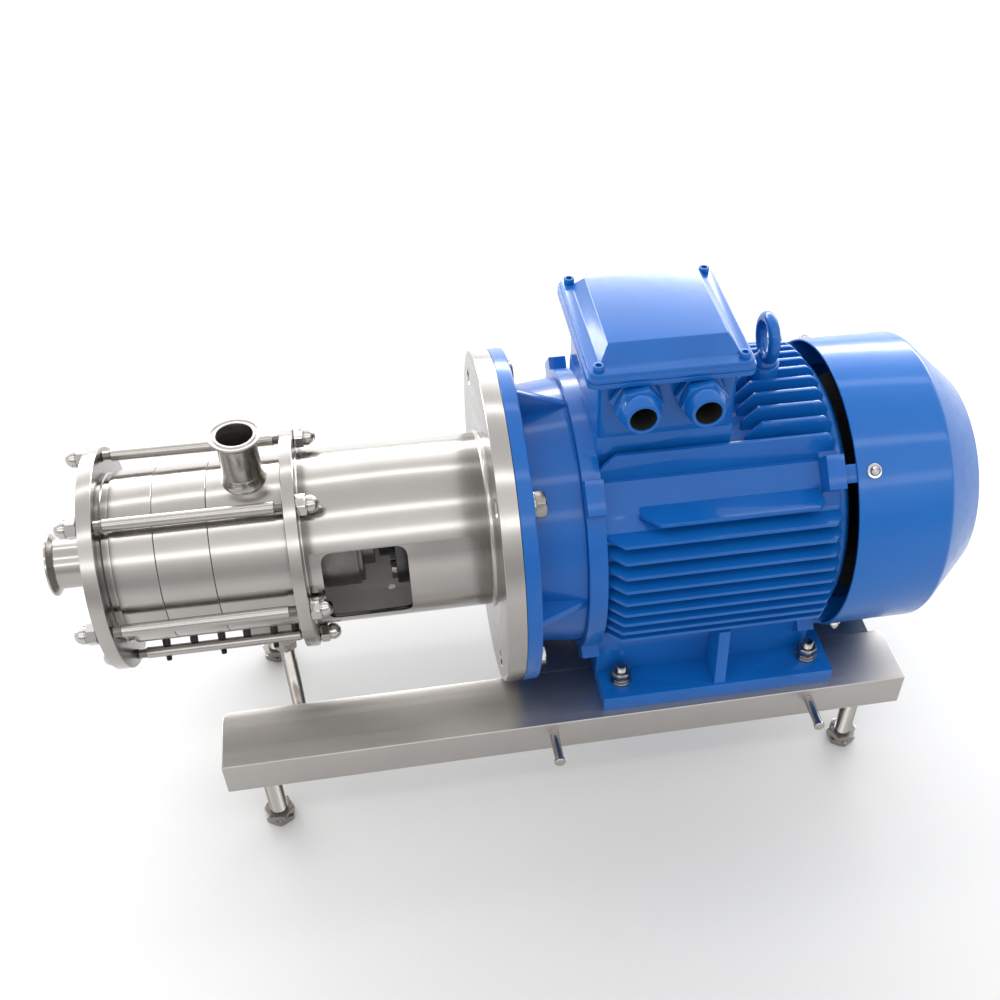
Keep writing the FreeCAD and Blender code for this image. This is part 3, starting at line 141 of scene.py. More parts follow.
class Nodes:
    """Node tree with short calls for adding and linking."""

    def __init__(self, tree: bpy.types.NodeTree) -> None:
        """Take hold of a node tree.

        Args:
            tree: the tree of a material or of the world.
        """
        self.nodes = tree.nodes
        self.links = tree.links

    def add(self, kind: str, settings: dict, inputs: dict) -> bpy.types.Node:
        """Add a node.

        Args:
            kind: type of the node.
            settings: the node's own properties.
            inputs: socket name or number to a value or to another node's output.

        Returns:
            The new node.
        """
        node = self.nodes.new(kind)
        for key, value in settings.items():
            setattr(node, key, value)
        for key, value in inputs.items():
            self.feed(node.inputs[key], value)
        return node

    def feed(self, socket: bpy.types.NodeSocket, value: object) -> None:
        """Set a socket to a value, or link it when the value is another socket."""
        if isinstance(value, bpy.types.NodeSocket):
            self.links.new(value, socket)
        else:
            socket.default_value = value

    def maths(self, operation: str, *values: object) -> bpy.types.NodeSocket:
        """Output of a Math node on some values."""
        node = self.add("ShaderNodeMath", {"operation": operation}, dict(enumerate(values)))
        return node.outputs[0]


class Tree(Nodes):
    """Node tree of one material, with what the finishes share."""

    def __init__(self, name: str) -> None:
        """Start an empty material.

        Args:
            name: name of the material.
        """
        self.material = bpy.data.materials.new(name)
        self.material.use_nodes = True
        super().__init__(self.material.node_tree)
        self.shader = self.nodes["Principled BSDF"]
        self.object_place = self.add("ShaderNodeTexCoord", {}, {}).outputs["Object"]

    def surface(self, inputs: dict) -> None:
        """Set or link the shader's sockets, by their names."""
        for name, value in inputs.items():
            self.feed(self.shader.inputs[name], value)

    def noise(self, place: bpy.types.NodeSocket, scale: float, detail: float = 4.0,
              coarse: float = 0.55) -> bpy.types.NodeSocket:
        """Noise at a scale.

        Args:
            place: vector that the noise reads.
            scale: features per metre.
            detail: octaves.
            coarse: weight of the finer octaves.

        Returns:
            The value output, about 0.3 to 0.7.
        """
        inputs = {"Vector": place, "Scale": scale, "Detail": detail, "Roughness": coarse}
        return self.add("ShaderNodeTexNoise", {}, inputs).outputs["Fac"]

    def spread(self, value: bpy.types.NodeSocket, low: float, high: float) -> bpy.types.NodeSocket:
        """Stretch a noise value to a range.

        Args:
            value: noise output.
            low: result where the noise is low.
            high: result where the noise is high.

        Returns:
            The stretched value.
        """
        inputs = {"Value": value, "From Min": 0.32, "From Max": 0.68, "To Min": low, "To Max": high}
        return self.add("ShaderNodeMapRange", {}, inputs).outputs["Result"]

    def blend(self, factor: bpy.types.NodeSocket, first: Colour, second: Colour) -> bpy.types.NodeSocket:
        """Mix of two colours by a factor."""
        inputs = {"Factor": factor, 6: (*first, 1.0), 7: (*second, 1.0)}
        return self.add("ShaderNodeMix", {"data_type": "RGBA"}, inputs).outputs[2]

    def bump(self, height: bpy.types.NodeSocket, strength: float, depth: float,
             below: bpy.types.NodeSocket | None = None) -> bpy.types.NodeSocket:
        """Normal output of a Bump node.

        Args:
            height: height value.
            strength: strength of the bump.
            depth: depth in metres.
            below: normal of a bump under this one.

        Returns:
            The bent normal.
        """
        inputs = {"Height": height, "Strength": strength, "Distance": depth}
        if below is not None:
            inputs["Normal"] = below
        return self.add("ShaderNodeBump", {}, inputs).outputs["Normal"]

    def polar_place(self, grain: Grain, centre: Vector, fine: float) -> bpy.types.NodeSocket:
        """Vector whose noise runs round an axis or along one.

        Args:
            grain: way that the marks run.
            centre: a point on the axis, in metres.
            fine: marks per metre across them.

        Returns:
            The vector to read noise with.
        """
        centred = {"Vector": self.object_place, "Location": -centre}
        place = self.add("ShaderNodeMapping", {}, centred).outputs[0]
        long_mark, turned_mark = fine / 90, 1.3
        scales = {Grain.ALONG: (long_mark, fine, fine), Grain.ACROSS: (fine, long_mark, fine),
                  Grain.PLAIN: (fine, fine, fine)}
        if grain in scales:
            return self.add("ShaderNodeMapping", {}, {"Vector": place, "Scale": scales[grain]}).outputs[0]
        axes = self.add("ShaderNodeSeparateXYZ", {}, {"Vector": place}).outputs
        along, first, second = [axes[k] for k in ((0, 1, 2) if grain is Grain.ROUND else (2, 0, 1))]
        squares = [self.maths("MULTIPLY", axis, axis) for axis in (first, second)]
        radius = self.maths("SQRT", self.maths("ADD", *squares))
        angle = self.maths("ARCTAN2", first, second)
        parts = {"X": self.maths("MULTIPLY", along, fine), "Y": self.maths("MULTIPLY", radius, fine),
                 "Z": self.maths("MULTIPLY", angle, turned_mark)}
        return self.add("ShaderNodeCombineXYZ", {}, parts).outputs[0]


@dataclass(frozen=True)
class Steel:
    """Bare metal with tool marks."""

    name: str
    colour: Colour
    rough: float = 0.20
    vary: float = 0.02
    grain: Grain = Grain.PLAIN
    centre: Place = (0.0, 0.0, 0.0)
    fine: float = 700.0
    depth: float = 0.000003
    cloud: float = 0.02
    stretch: float = 0.0

    def build(self) -> bpy.types.Material:
        """Make the material.

        Returns:
            The material.
        """
        tree = Tree(self.name)
        centre = DATUM + Vector(self.centre) * MM
        marks_place = tree.polar_place(self.grain, centre, self.fine)
        marks = tree.noise(marks_place, 1.0, 5.0, 0.62)
        bands = tree.noise(marks_place, 0.16, 3.0, 0.5)
        cloud = tree.noise(tree.object_place, 22.0, 3.0)
        darker = tuple(c * (1 - 2.2 * self.cloud) for c in self.colour)
        slow = self.vary * 0.7
        rings = tree.bump(bands, 0.5, self.depth * 3.0)
        tree.surface({
            "Base Color": tree.blend(tree.spread(cloud, 0.0, 1.0), darker, self.colour),
            "Roughness": tree.maths("ADD", tree.spread(marks, self.rough - self.vary, self.rough + self.vary),
                                    tree.spread(bands, -slow, slow)),
            "Metallic": 1.0,
            "Normal": tree.bump(marks, 0.6, self.depth, rings)})
        if self.stretch:
            across = tree.add("ShaderNodeTangent", {"direction_type": "RADIAL", "axis": "X"}, {})
            tree.surface({"Tangent": across.outputs[0], "Anisotropic": self.stretch,
                          "Anisotropic Rotation": 0.25})
        return tree.material


@dataclass(frozen=True)
class Paint:
    """Enamel on a casting or on sheet."""

    name: str
    colour: Colour
    shade: Colour
    rough: float = 0.38
    peel: float = 0.000012
    peel_scale: float = 900.0
    cast: float = 0.00009
    cast_scale: float = 300.0
    coat: float = 0.5
    coat_rough: float = 0.09
    sheen: float = 0.12

    def build(self) -> bpy.types.Material:
        """Make the material.

        Returns:
            The material.
        """
        tree = Tree(self.name)
        slow = tree.noise(tree.object_place, 17.0, 3.0)
        cast = tree.noise(tree.object_place, self.cast_scale, 4.0, 0.6)
        peel = tree.noise(tree.object_place, self.peel_scale, 3.0, 0.5)
        lumps = tree.bump(cast, 0.5, self.cast)
        tree.surface({
            "Base Color": tree.blend(tree.spread(slow, 0.0, 1.0), self.shade, self.colour),
            "Roughness": tree.spread(cast, self.rough - 0.06, self.rough + 0.08),
            "Specular IOR Level": self.sheen,
            "Coat Weight": self.coat,
            "Coat Roughness": self.coat_rough,
            "Normal": tree.bump(peel, 0.5, self.peel, lumps)})
        return tree.material


@dataclass(frozen=True)
class Matter:
    """Plain non-metal or dull metal with mottle and grain."""

    name: str
    colour: Colour
    shade: Colour
    rough: float = 0.55
    metallic: float = 0.0
    scale: float = 260.0
    depth: float = 0.0001
    sheen: float = 0.3

    def build(self) -> bpy.types.Material:
        """Make the material.

        Returns:
            The material.
        """
        tree = Tree(self.name)
        mottle = tree.noise(tree.object_place, self.scale * 0.2, 4.0)
        grain = tree.noise(tree.object_place, self.scale, 4.0, 0.6)
        tree.surface({
            "Base Color": tree.blend(tree.spread(mottle, 0.0, 1.0), self.shade, self.colour),
            "Roughness": tree.spread(grain, self.rough - 0.08, self.rough + 0.08),
            "Metallic": self.metallic,
            "Specular IOR Level": self.sheen,
            "Normal": tree.bump(grain, 0.5, self.depth)})
        return tree.material


OUTLET_AXIS = (-254.0, 0.0, 0.0)
INOX = (0.42, 0.403, 0.382)
SHEET_INOX = (0.45, 0.43, 0.41)
BLUE = (0.003, 0.100, 0.385)
DEEP_BLUE = (0.0026, 0.090, 0.350)


class Coat(Enum):
    """Finishes of the pump."""

    TURNED = Steel("turned_stainless", INOX, 0.20, 0.02, Grain.ROUND, stretch=0.5)
    RIM = Steel("turned_plate_rim", INOX, 0.19, 0.02, Grain.ROUND, fine=420.0, depth=3e-6)
    # painted shade: the faces square to the shaft get a darker copy of the stainless colour, standing in for
    # the shade that they reflect
    FACED_PAINTED_SHADE = Steel("faced_plate_side_painted_shade", (0.26, 0.25, 0.24), 0.24, 0.04, Grain.ROUND, fine=420.0, depth=6e-6)
    TUBE = Steel("brushed_lantern_tube", INOX, 0.21, 0.02, Grain.ROUND, fine=900.0, stretch=0.5)
    SHEET = Steel("brushed_rail_sheet", SHEET_INOX, 0.40, 0.04, Grain.ALONG, fine=900.0, depth=1.5e-6)
    CROSS = Steel("brushed_cross_sheet", SHEET_INOX, 0.40, 0.04, Grain.ACROSS, fine=900.0, depth=1.5e-6)
    PIPE = Steel("polished_outlet_pipe", INOX, 0.23, 0.03, Grain.UPRIGHT, OUTLET_AXIS, 800.0)
    PIPE_BORE = Steel("pipe_bore", INOX, 0.30, 0.04, Grain.UPRIGHT, OUTLET_AXIS, 420.0)
    DRAWN = Steel("drawn_rod", INOX, 0.26, 0.01, Grain.ALONG, fine=900.0, depth=4e-7)
    POLISHED = Steel("polished_fittings", (0.50, 0.485, 0.465), 0.08, 0.02, fine=300.0, depth=3e-6)
    MACHINED = Steel("machined_steel", (0.42, 0.41, 0.40), 0.28, 0.04, Grain.ROUND, fine=900.0, depth=8e-6)
    ZINC = Steel("zinc_plated_steel", (0.33, 0.315, 0.295), 0.20, 0.03, fine=240.0, depth=2e-6)
    CORE = Steel("stacked_core_sheet", (0.22, 0.22, 0.23), 0.42, 0.06, Grain.ROUND, fine=1600.0, depth=6e-5)
    COPPER = Steel("varnished_windings", (0.52, 0.20, 0.08), 0.34, 0.06, Grain.ROUND, fine=500.0, depth=2e-4)
    CAST_BLUE = Paint("blue_enamel_on_casting", BLUE, DEEP_BLUE)
    BOX_BLUE = Paint("blue_enamel_on_box", BLUE, DEEP_BLUE, rough=0.36, peel=1e-5, peel_scale=1000.0,
                     cast=3e-5, cast_scale=160.0, coat=0.55, coat_rough=0.06)
    SHEET_BLUE = Paint("blue_enamel_on_sheet", (0.003, 0.112, 0.41), (0.0028, 0.104, 0.39), rough=0.34,
                       peel=8e-6, cast=3e-5, cast_scale=60.0, coat=0.6, coat_rough=0.10)
    # painted light: the lantern tube's inner faces get a near-white dull colour in place of the stainless,
    # standing in for light reaching inside through the window
    INNER_PAINTED_LIGHT = Matter("inner_wall_painted_light", (0.90, 0.875, 0.85), (0.84, 0.815, 0.79), 0.42, depth=2e-5)
    IRON = Matter("dark_coupling_iron", (0.10, 0.10, 0.105), (0.06, 0.06, 0.065), 0.34, 0.9, depth=3e-5)
    SEAL_GREY = Matter("dull_seal_housing", (0.20, 0.19, 0.18), (0.15, 0.143, 0.137), 0.34, 0.9, depth=2e-5)
    BLACK = Matter("black_screw", (0.022, 0.022, 0.023), (0.014, 0.014, 0.015), 0.42, depth=3e-5)
    CARBON = Matter("lapped_carbon", (0.035, 0.035, 0.038), (0.025, 0.025, 0.027), 0.35, depth=3e-5)
    RUBBER = Matter("black_rubber", (0.018, 0.018, 0.018), (0.012, 0.012, 0.012), 0.65)
    FAN = Matter("black_fan_plastic", (0.006, 0.006, 0.007), (0.004, 0.004, 0.005), 0.6,
                 depth=4e-5, sheen=0.1)
    BOARD = Matter("brown_board_plastic", (0.12, 0.04, 0.02), (0.085, 0.03, 0.015), 0.42, depth=4e-5)

    def material(self) -> bpy.types.Material:
        """The material, made the first time that it is asked for."""
        found = bpy.data.materials.get(self.value.name)
        return found or self.value.build()


# Bench: how the pieces are made

def clear() -> None:
    """Go to object mode with nothing selected."""
    if bpy.context.object and bpy.context.object.mode != "OBJECT":
        bpy.ops.object.mode_set(mode="OBJECT")
    bpy.ops.object.select_all(action="DESELECT")


def pick(*objects: bpy.types.Object) -> None:
    """Select some objects alone, the first of them active."""
    clear()
    for obj in objects:
        obj.select_set(True)
    bpy.context.view_layer.objects.active = objects[0]


def apply_modifier(obj: bpy.types.Object, kind: str, **settings: object) -> None:
    """Add a modifier and apply it.

    Args:
        obj: the piece.
        kind: type of the modifier.
        settings: the modifier's properties.
    """
    pick(obj)
    bpy.ops.object.modifier_add(type=kind)
    modifier = obj.modifiers[-1]
    for key, value in settings.items():
        setattr(modifier, key, value)
    bpy.ops.object.modifier_apply(modifier=modifier.name)


def settle(obj: bpy.types.Object) -> bpy.types.Object:
    """Put the object's place, turn and scale into its mesh.

    Args:
        obj: the piece.

    Returns:
        The piece.
    """
    pick(obj)
    bpy.ops.object.transform_apply(location=True, rotation=True, scale=True)
    return obj


def rounded(corners: Sequence[tuple], radius: float = 0.0, parts: int = 3) -> list[Point]:
    """Round the corners of a closed outline.

    Args:
        corners: (a, b) or (a, b, radius) of each corner, in millimetres.
        radius: how far back a corner is cut where it names none.
        parts: straight parts in each round.

    Returns:
        The outline's points.
    """
    out: list[Point] = []
    most = 0.48
    count = len(corners)
    for k, corner in enumerate(corners):
        here = Vector(corner[:2])
        size = corner[2] if len(corner) > 2 else radius
        before = Vector(corners[k - 1][:2]) - here
        after = Vector(corners[(k + 1) % count][:2]) - here
        reach = min(size, before.length * most, after.length * most)
        if reach <= 0.01:
            out.append((here.x, here.y))
            continue
        start = here + before.normalized() * reach
        end = here + after.normalized() * reach
        for j in range(parts + 1):
            t = j / parts
            point = start * (1 - t) ** 2 + here * 2 * t * (1 - t) + end * t ** 2
            out.append((point.x, point.y))
    return out


def first_point(name: str, point: Vector) -> bpy.types.Object:
    """Start a piece in edit mode as a single vertex.

    Args:
        name: name of the piece.
        point: place of the vertex, in metres.

    Returns:
        The new object, in edit mode.
    """
    clear()
    bpy.ops.mesh.primitive_plane_add(size=0.002, location=point)
    obj = bpy.context.active_object
    obj.name = name
    bpy.ops.object.mode_set(mode="EDIT")
    bpy.ops.mesh.select_mode(type="VERT")
    bpy.ops.mesh.select_all(action="SELECT")
    bpy.ops.mesh.merge(type="CENTER")
    return obj


def draw_line(points: Sequence[Vector]) -> None:
    """Extrude the selected vertex from point to point, in metres."""
    for start, end in zip(points, points[1:]):
        bpy.ops.mesh.extrude_vertices_move(TRANSFORM_OT_translate={"value": end - start})


def clean_mesh() -> None:
    """Merge doubles, point the faces outwards and leave edit mode."""
    bpy.ops.mesh.select_all(action="SELECT")
    bpy.ops.mesh.remove_doubles(threshold=DOUBLES)
    bpy.ops.mesh.normals_make_consistent(inside=False)
    bpy.ops.object.mode_set(mode="OBJECT")


def turn(name: str, profile: Sequence[Point], steps: int = 96, closed: bool = True) -> bpy.types.Object:
    """Turn a profile about the x axis through the origin.

    Args:
        name: name of the piece.
        profile: (x, radius) points in millimetres.
        steps: faces round.
        closed: whether the last point joins the first, as in a ring.

    Returns:
        The turned piece.
    """
    points = [Vector((x, 0.0, r)) * MM for x, r in profile]
    if closed:
        points.append(points[0])
    obj = first_point(name, points[0])
    draw_line(points)
    bpy.ops.mesh.select_all(action="SELECT")
    bpy.ops.mesh.spin(steps=steps, angle=math.tau, center=(0, 0, 0), axis=(1, 0, 0))
    clean_mesh()
    return settle(obj)


def slab(name: str, outline: Sequence[Point], thickness: float,
         flat: Plane = Plane.LEVEL) -> bpy.types.Object:
    """Cut a flat outline out of plate.

    Args:
        name: name of the piece.
        outline: points in millimetres, in the plane of the plate.
        thickness: thickness in millimetres, along the third axis from zero.
        flat: plane of the outline.

    Returns:
        The plate, on the origin.
    """
    axes = ["xyz".index(letter) for letter in flat.value]
    rest = 3 - sum(axes)

    def spot(point: Point) -> Vector:
        """Outline point in space.

        Args:
            point: the point, in millimetres.

        Returns:
            Its place, in metres.
        """
        place = [0.0, 0.0, 0.0]
        place[axes[0]], place[axes[1]] = point[0] * MM, point[1] * MM
        return Vector(place)

    points = [spot(point) for point in outline]
    obj = first_point(name, points[0])
    draw_line(points + points[:1])
    bpy.ops.mesh.select_all(action="SELECT")
    bpy.ops.mesh.remove_doubles(threshold=DOUBLES)
    bpy.ops.mesh.edge_face_add()
    push = [0.0, 0.0, 0.0]
    push[rest] = thickness * MM
    bpy.ops.mesh.extrude_region_move(TRANSFORM_OT_translate={"value": push})
    clean_mesh()
    return settle(obj)


def brick(name: str, low: Place, high: Place) -> bpy.types.Object:
    """Block between two corners, in millimetres.

    Args:
        name: name of the piece.
        low: lowest corner.
        high: highest corner.

    Returns:
        The block, in its place from the origin.
    """
    clear()
    middle = (Vector(low) + Vector(high)) * 0.5 * MM
    size = (Vector(high) - Vector(low)) * MM
    bpy.ops.mesh.primitive_cube_add(size=1.0, location=middle, scale=size)
    obj = bpy.context.active_object
    obj.name = name
    return settle(obj)


def bar(name: str, x0: float, x1: float, radius: float, steps: int) -> bpy.types.Object:
    """Plain round bar along the x axis.

    Args:
        name: name of the piece.
        x0: start, in millimetres.
        x1: end.
        radius: radius.
        steps: faces round.

    Returns:
        The bar.
    """
    return turn(name, [(x0, 0), (x0, radius), (x1, radius), (x1, 0)], steps, closed=False)


def edit_faces(obj: bpy.types.Object, test: FaceTest) -> None:
    """Enter edit mode with the faces selected that pass a test.

    Args:
        obj: the piece.
        test: the test that a face has to pass.
    """
    pick(obj)
    bpy.ops.object.mode_set(mode="EDIT")
    bpy.ops.mesh.select_mode(type="FACE")
    bpy.ops.mesh.select_all(action="DESELECT")
    bpy.ops.object.mode_set(mode="OBJECT")
    for polygon in obj.data.polygons:
        polygon.select = test(polygon)
    bpy.ops.object.mode_set(mode="EDIT")


def soften(obj: bpy.types.Object, width: float, segments: int = 2, angle: float = 32.0) -> bpy.types.Object:
    """Round the sharp edges of a piece.

    Args:
        obj: the piece.
        width: width of the round in millimetres.
        segments: faces in each round.
        angle: edges sharper than this are rounded, in degrees.

    Returns:
        The piece.
    """
    apply_modifier(obj, "BEVEL", width=width * MM, segments=segments, limit_method="ANGLE",
                   angle_limit=math.radians(angle), use_clamp_overlap=True, miter_outer="MITER_ARC")
    return obj


def hexagon(name: str, across: float, length: float, both_ends: bool = True, bite: float = 0.97,
            bore: float = 0.0) -> bpy.types.Object:
    """Hexagon bar with its corners turned back, from the origin along x.

    Args:
        name: name of the piece.
        across: size across the flats, in millimetres.
        length: length in millimetres.
        both_ends: whether the corners are turned back at both ends, or only at the far one.
        bite: radius of the turned end as a share of half the size across the flats.
        bore: radius of the hole through it, none when it is zero.

    Returns:
        The hexagon.
    """
    clear()
    corner = across / math.sqrt(3)
    bpy.ops.mesh.primitive_cylinder_add(vertices=6, radius=corner * MM, depth=length * MM,
                                        location=(length / 2 * MM, 0, 0), rotation=(0, math.pi / 2, 0))
    obj = bpy.context.active_object
    obj.name = name
    settle(obj)
    turned_r = across / 2 * bite
    past = 1.0
    wide = corner + past
    run = (corner - turned_r + past) * CORNER_SLOPE
    profile = [(0, bore), (0, turned_r), (run, wide)] if both_ends else [(0, bore), (0, wide)]
    profile += [(length - run, wide), (length, turned_r), (length, bore)]
    barrel = turn(name + "_barrel", profile, 48, closed=bore > 0)
    boolean(obj, barrel, Work.TRIM)
    return soften(obj, 0.25, 1, 25.0)


def boolean(obj: bpy.types.Object, tool: bpy.types.Object, work: Work = Work.CUT,
            overlap: bool = False) -> bpy.types.Object:
    """Cut, join or intersect with another object, which is used up.

    Args:
        obj: the piece that is worked on.
        tool: the object that works on it.
        work: what the tool does to the piece.
        overlap: whether parts of one object overlap each other.

    Returns:
        The piece.
    """
    apply_modifier(obj, "BOOLEAN", operation=work.value, object=tool, solver="EXACT", use_self=overlap)
    bpy.data.objects.remove(tool, do_unlink=True)
    return obj


def moved(obj: bpy.types.Object, place: Place = (0.0, 0.0, 0.0), turned: float = 0.0,
          way: Place = (1.0, 0.0, 0.0), roll: float = 0.0) -> bpy.types.Object:
    """Point a piece that was made along x another way and move it.

    Args:
        obj: the piece.
        place: where its origin goes, in millimetres.
        turned: turn about the shaft's axis after that, in degrees.
        way: direction that its x axis takes.
        roll: turn about its own x axis first, in degrees.

    Returns:
        The piece, with its place in its mesh.
    """
    aim = Vector((1, 0, 0)).rotation_difference(Vector(way)).to_matrix().to_4x4()
    own = Matrix.Rotation(math.radians(roll), 4, "X")
    about = Matrix.Rotation(math.radians(turned), 4, "X")
    obj.matrix_world = about @ Matrix.Translation(Vector(place) * MM) @ aim @ own @ obj.matrix_world
    return settle(obj)


def repeated(obj: bpy.types.Object, spots: Sequence[dict]) -> list[bpy.types.Object]:
    """Copies of a piece, each with a mesh of its own; the piece itself is used up.

    Args:
        obj: the piece.
        spots: what moved takes, for each copy.

    Returns:
        The copies.
    """
    copies = []
    for spot in spots:
        pick(obj)
        bpy.ops.object.duplicate(linked=False)
        copies.append(moved(bpy.context.active_object, **spot))
    bpy.data.objects.remove(obj, do_unlink=True)
    return copies


def gathered(name: str, parts: Sequence[bpy.types.Object]) -> bpy.types.Object:
    """Join parts into one object, as they are.

    Args:
        name: name of the joined object.
        parts: the objects.

    Returns:
        The joined object.
    """
    pick(*parts)
    if len(parts) > 1:
        bpy.ops.object.join()
    parts[0].name = name
    return parts[0]


def polar(angle: float, radius: float) -> Point:
    """Y and z at an angle from the top towards the near side."""
    return -radius * math.sin(math.radians(angle)), radius * math.cos(math.radians(angle))


def thread(x0: float, x1: float, radius: float, pitch: float = 2.0, depth: float = 0.9) -> list[Point]:
    """Ridges of a screw thread.

    Args:
        x0: start of the thread.
        x1: end of the thread.
        radius: outer radius.
        pitch: distance between ridges.
        depth: depth of the ridges.

    Returns:
        Profile points from start to end.
    """
    turns = max(1, round((x1 - x0) / pitch))
    step = (x1 - x0) / turns
    points: list[Point] = []
    for k in range(turns):
        points += [(x0 + step * k, radius - depth), (x0 + step * (k + 0.5), radius)]
    return points + [(x1, radius - depth)]


def square(face: bpy.types.MeshPolygon) -> bool:
    """Whether a face is square to the shaft."""
    return abs(face.normal.x) > 0.98


def looks_in(axis: Axis, x: float = 0.0) -> FaceTest:
    """Test for the faces that look towards an axis.

    Args:
        axis: the shaft's own axis or an upright one.
        x: place of the upright axis along the shaft.

    Returns:
        The test.
    """
    along = Vector(axis.value)
    middle = DATUM + Vector((x, 0, 0)) * MM

    def test(face: bpy.types.MeshPolygon) -> bool:
        """Whether a face looks inwards.

        Args:
            face: the face.

        Returns:
            True where it looks towards the axis.
        """
        out = face.center - middle
        out -= along * out.dot(along)
        return face.normal.dot(out.normalized()) < -0.7

    return test


def finish(obj: bpy.types.Object, coat: Coat, slot: Slot, body: Body, *nodes: str, smooth: float = 32.0,
           patch: tuple[Coat, FaceTest] | None = None) -> None:
    """Shade a piece, give it its finish, its body and the solids it stands for.

    Args:
        obj: the piece, drawn from the datum at the origin.
        coat: its finish.
        slot: the record's material slot; not used.
        body: the body that it rides on.
        nodes: the solids that it replaces.
        smooth: edges sharper than this stay sharp, in degrees.
        patch: finish of some of the faces, and the test that picks them.
    """
    obj.location = DATUM
    settle(obj)
    bpy.ops.object.shade_smooth_by_angle(angle=math.radians(smooth))
    obj.data.materials.clear()
    obj.data.materials.append(coat.material())
    if patch is not None:
        obj.data.materials.append(patch[0].material())
        for polygon in obj.data.polygons:
            polygon.material_index = int(patch[1](polygon))
    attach(obj, body.value)
    if nodes:
        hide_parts(*nodes)
    LOG.info("%s: %d faces on %s", obj.name, len(obj.data.polygons), body.value)


def dress(node: str, parts: Sequence[bpy.types.Object], coat: Coat, slot: Slot, body: Body = Body.STAND,
          smooth: float = 32.0, patch: tuple[Coat, FaceTest] | None = None) -> None:
    """Join the parts that stand for one solid, and finish them.

    Args:
        node: the solid that they replace.
        parts: the parts.
        coat: their finish.
        slot: the record's material slot.
        body: the body that they ride on.
        smooth: edges sharper than this stay sharp, in degrees.
        patch: finish of some of the faces, and the test that picks them.
    """
    finish(gathered(node + "_dressed", parts), coat, slot, body, node, smooth=smooth, patch=patch)


# The pump's parts

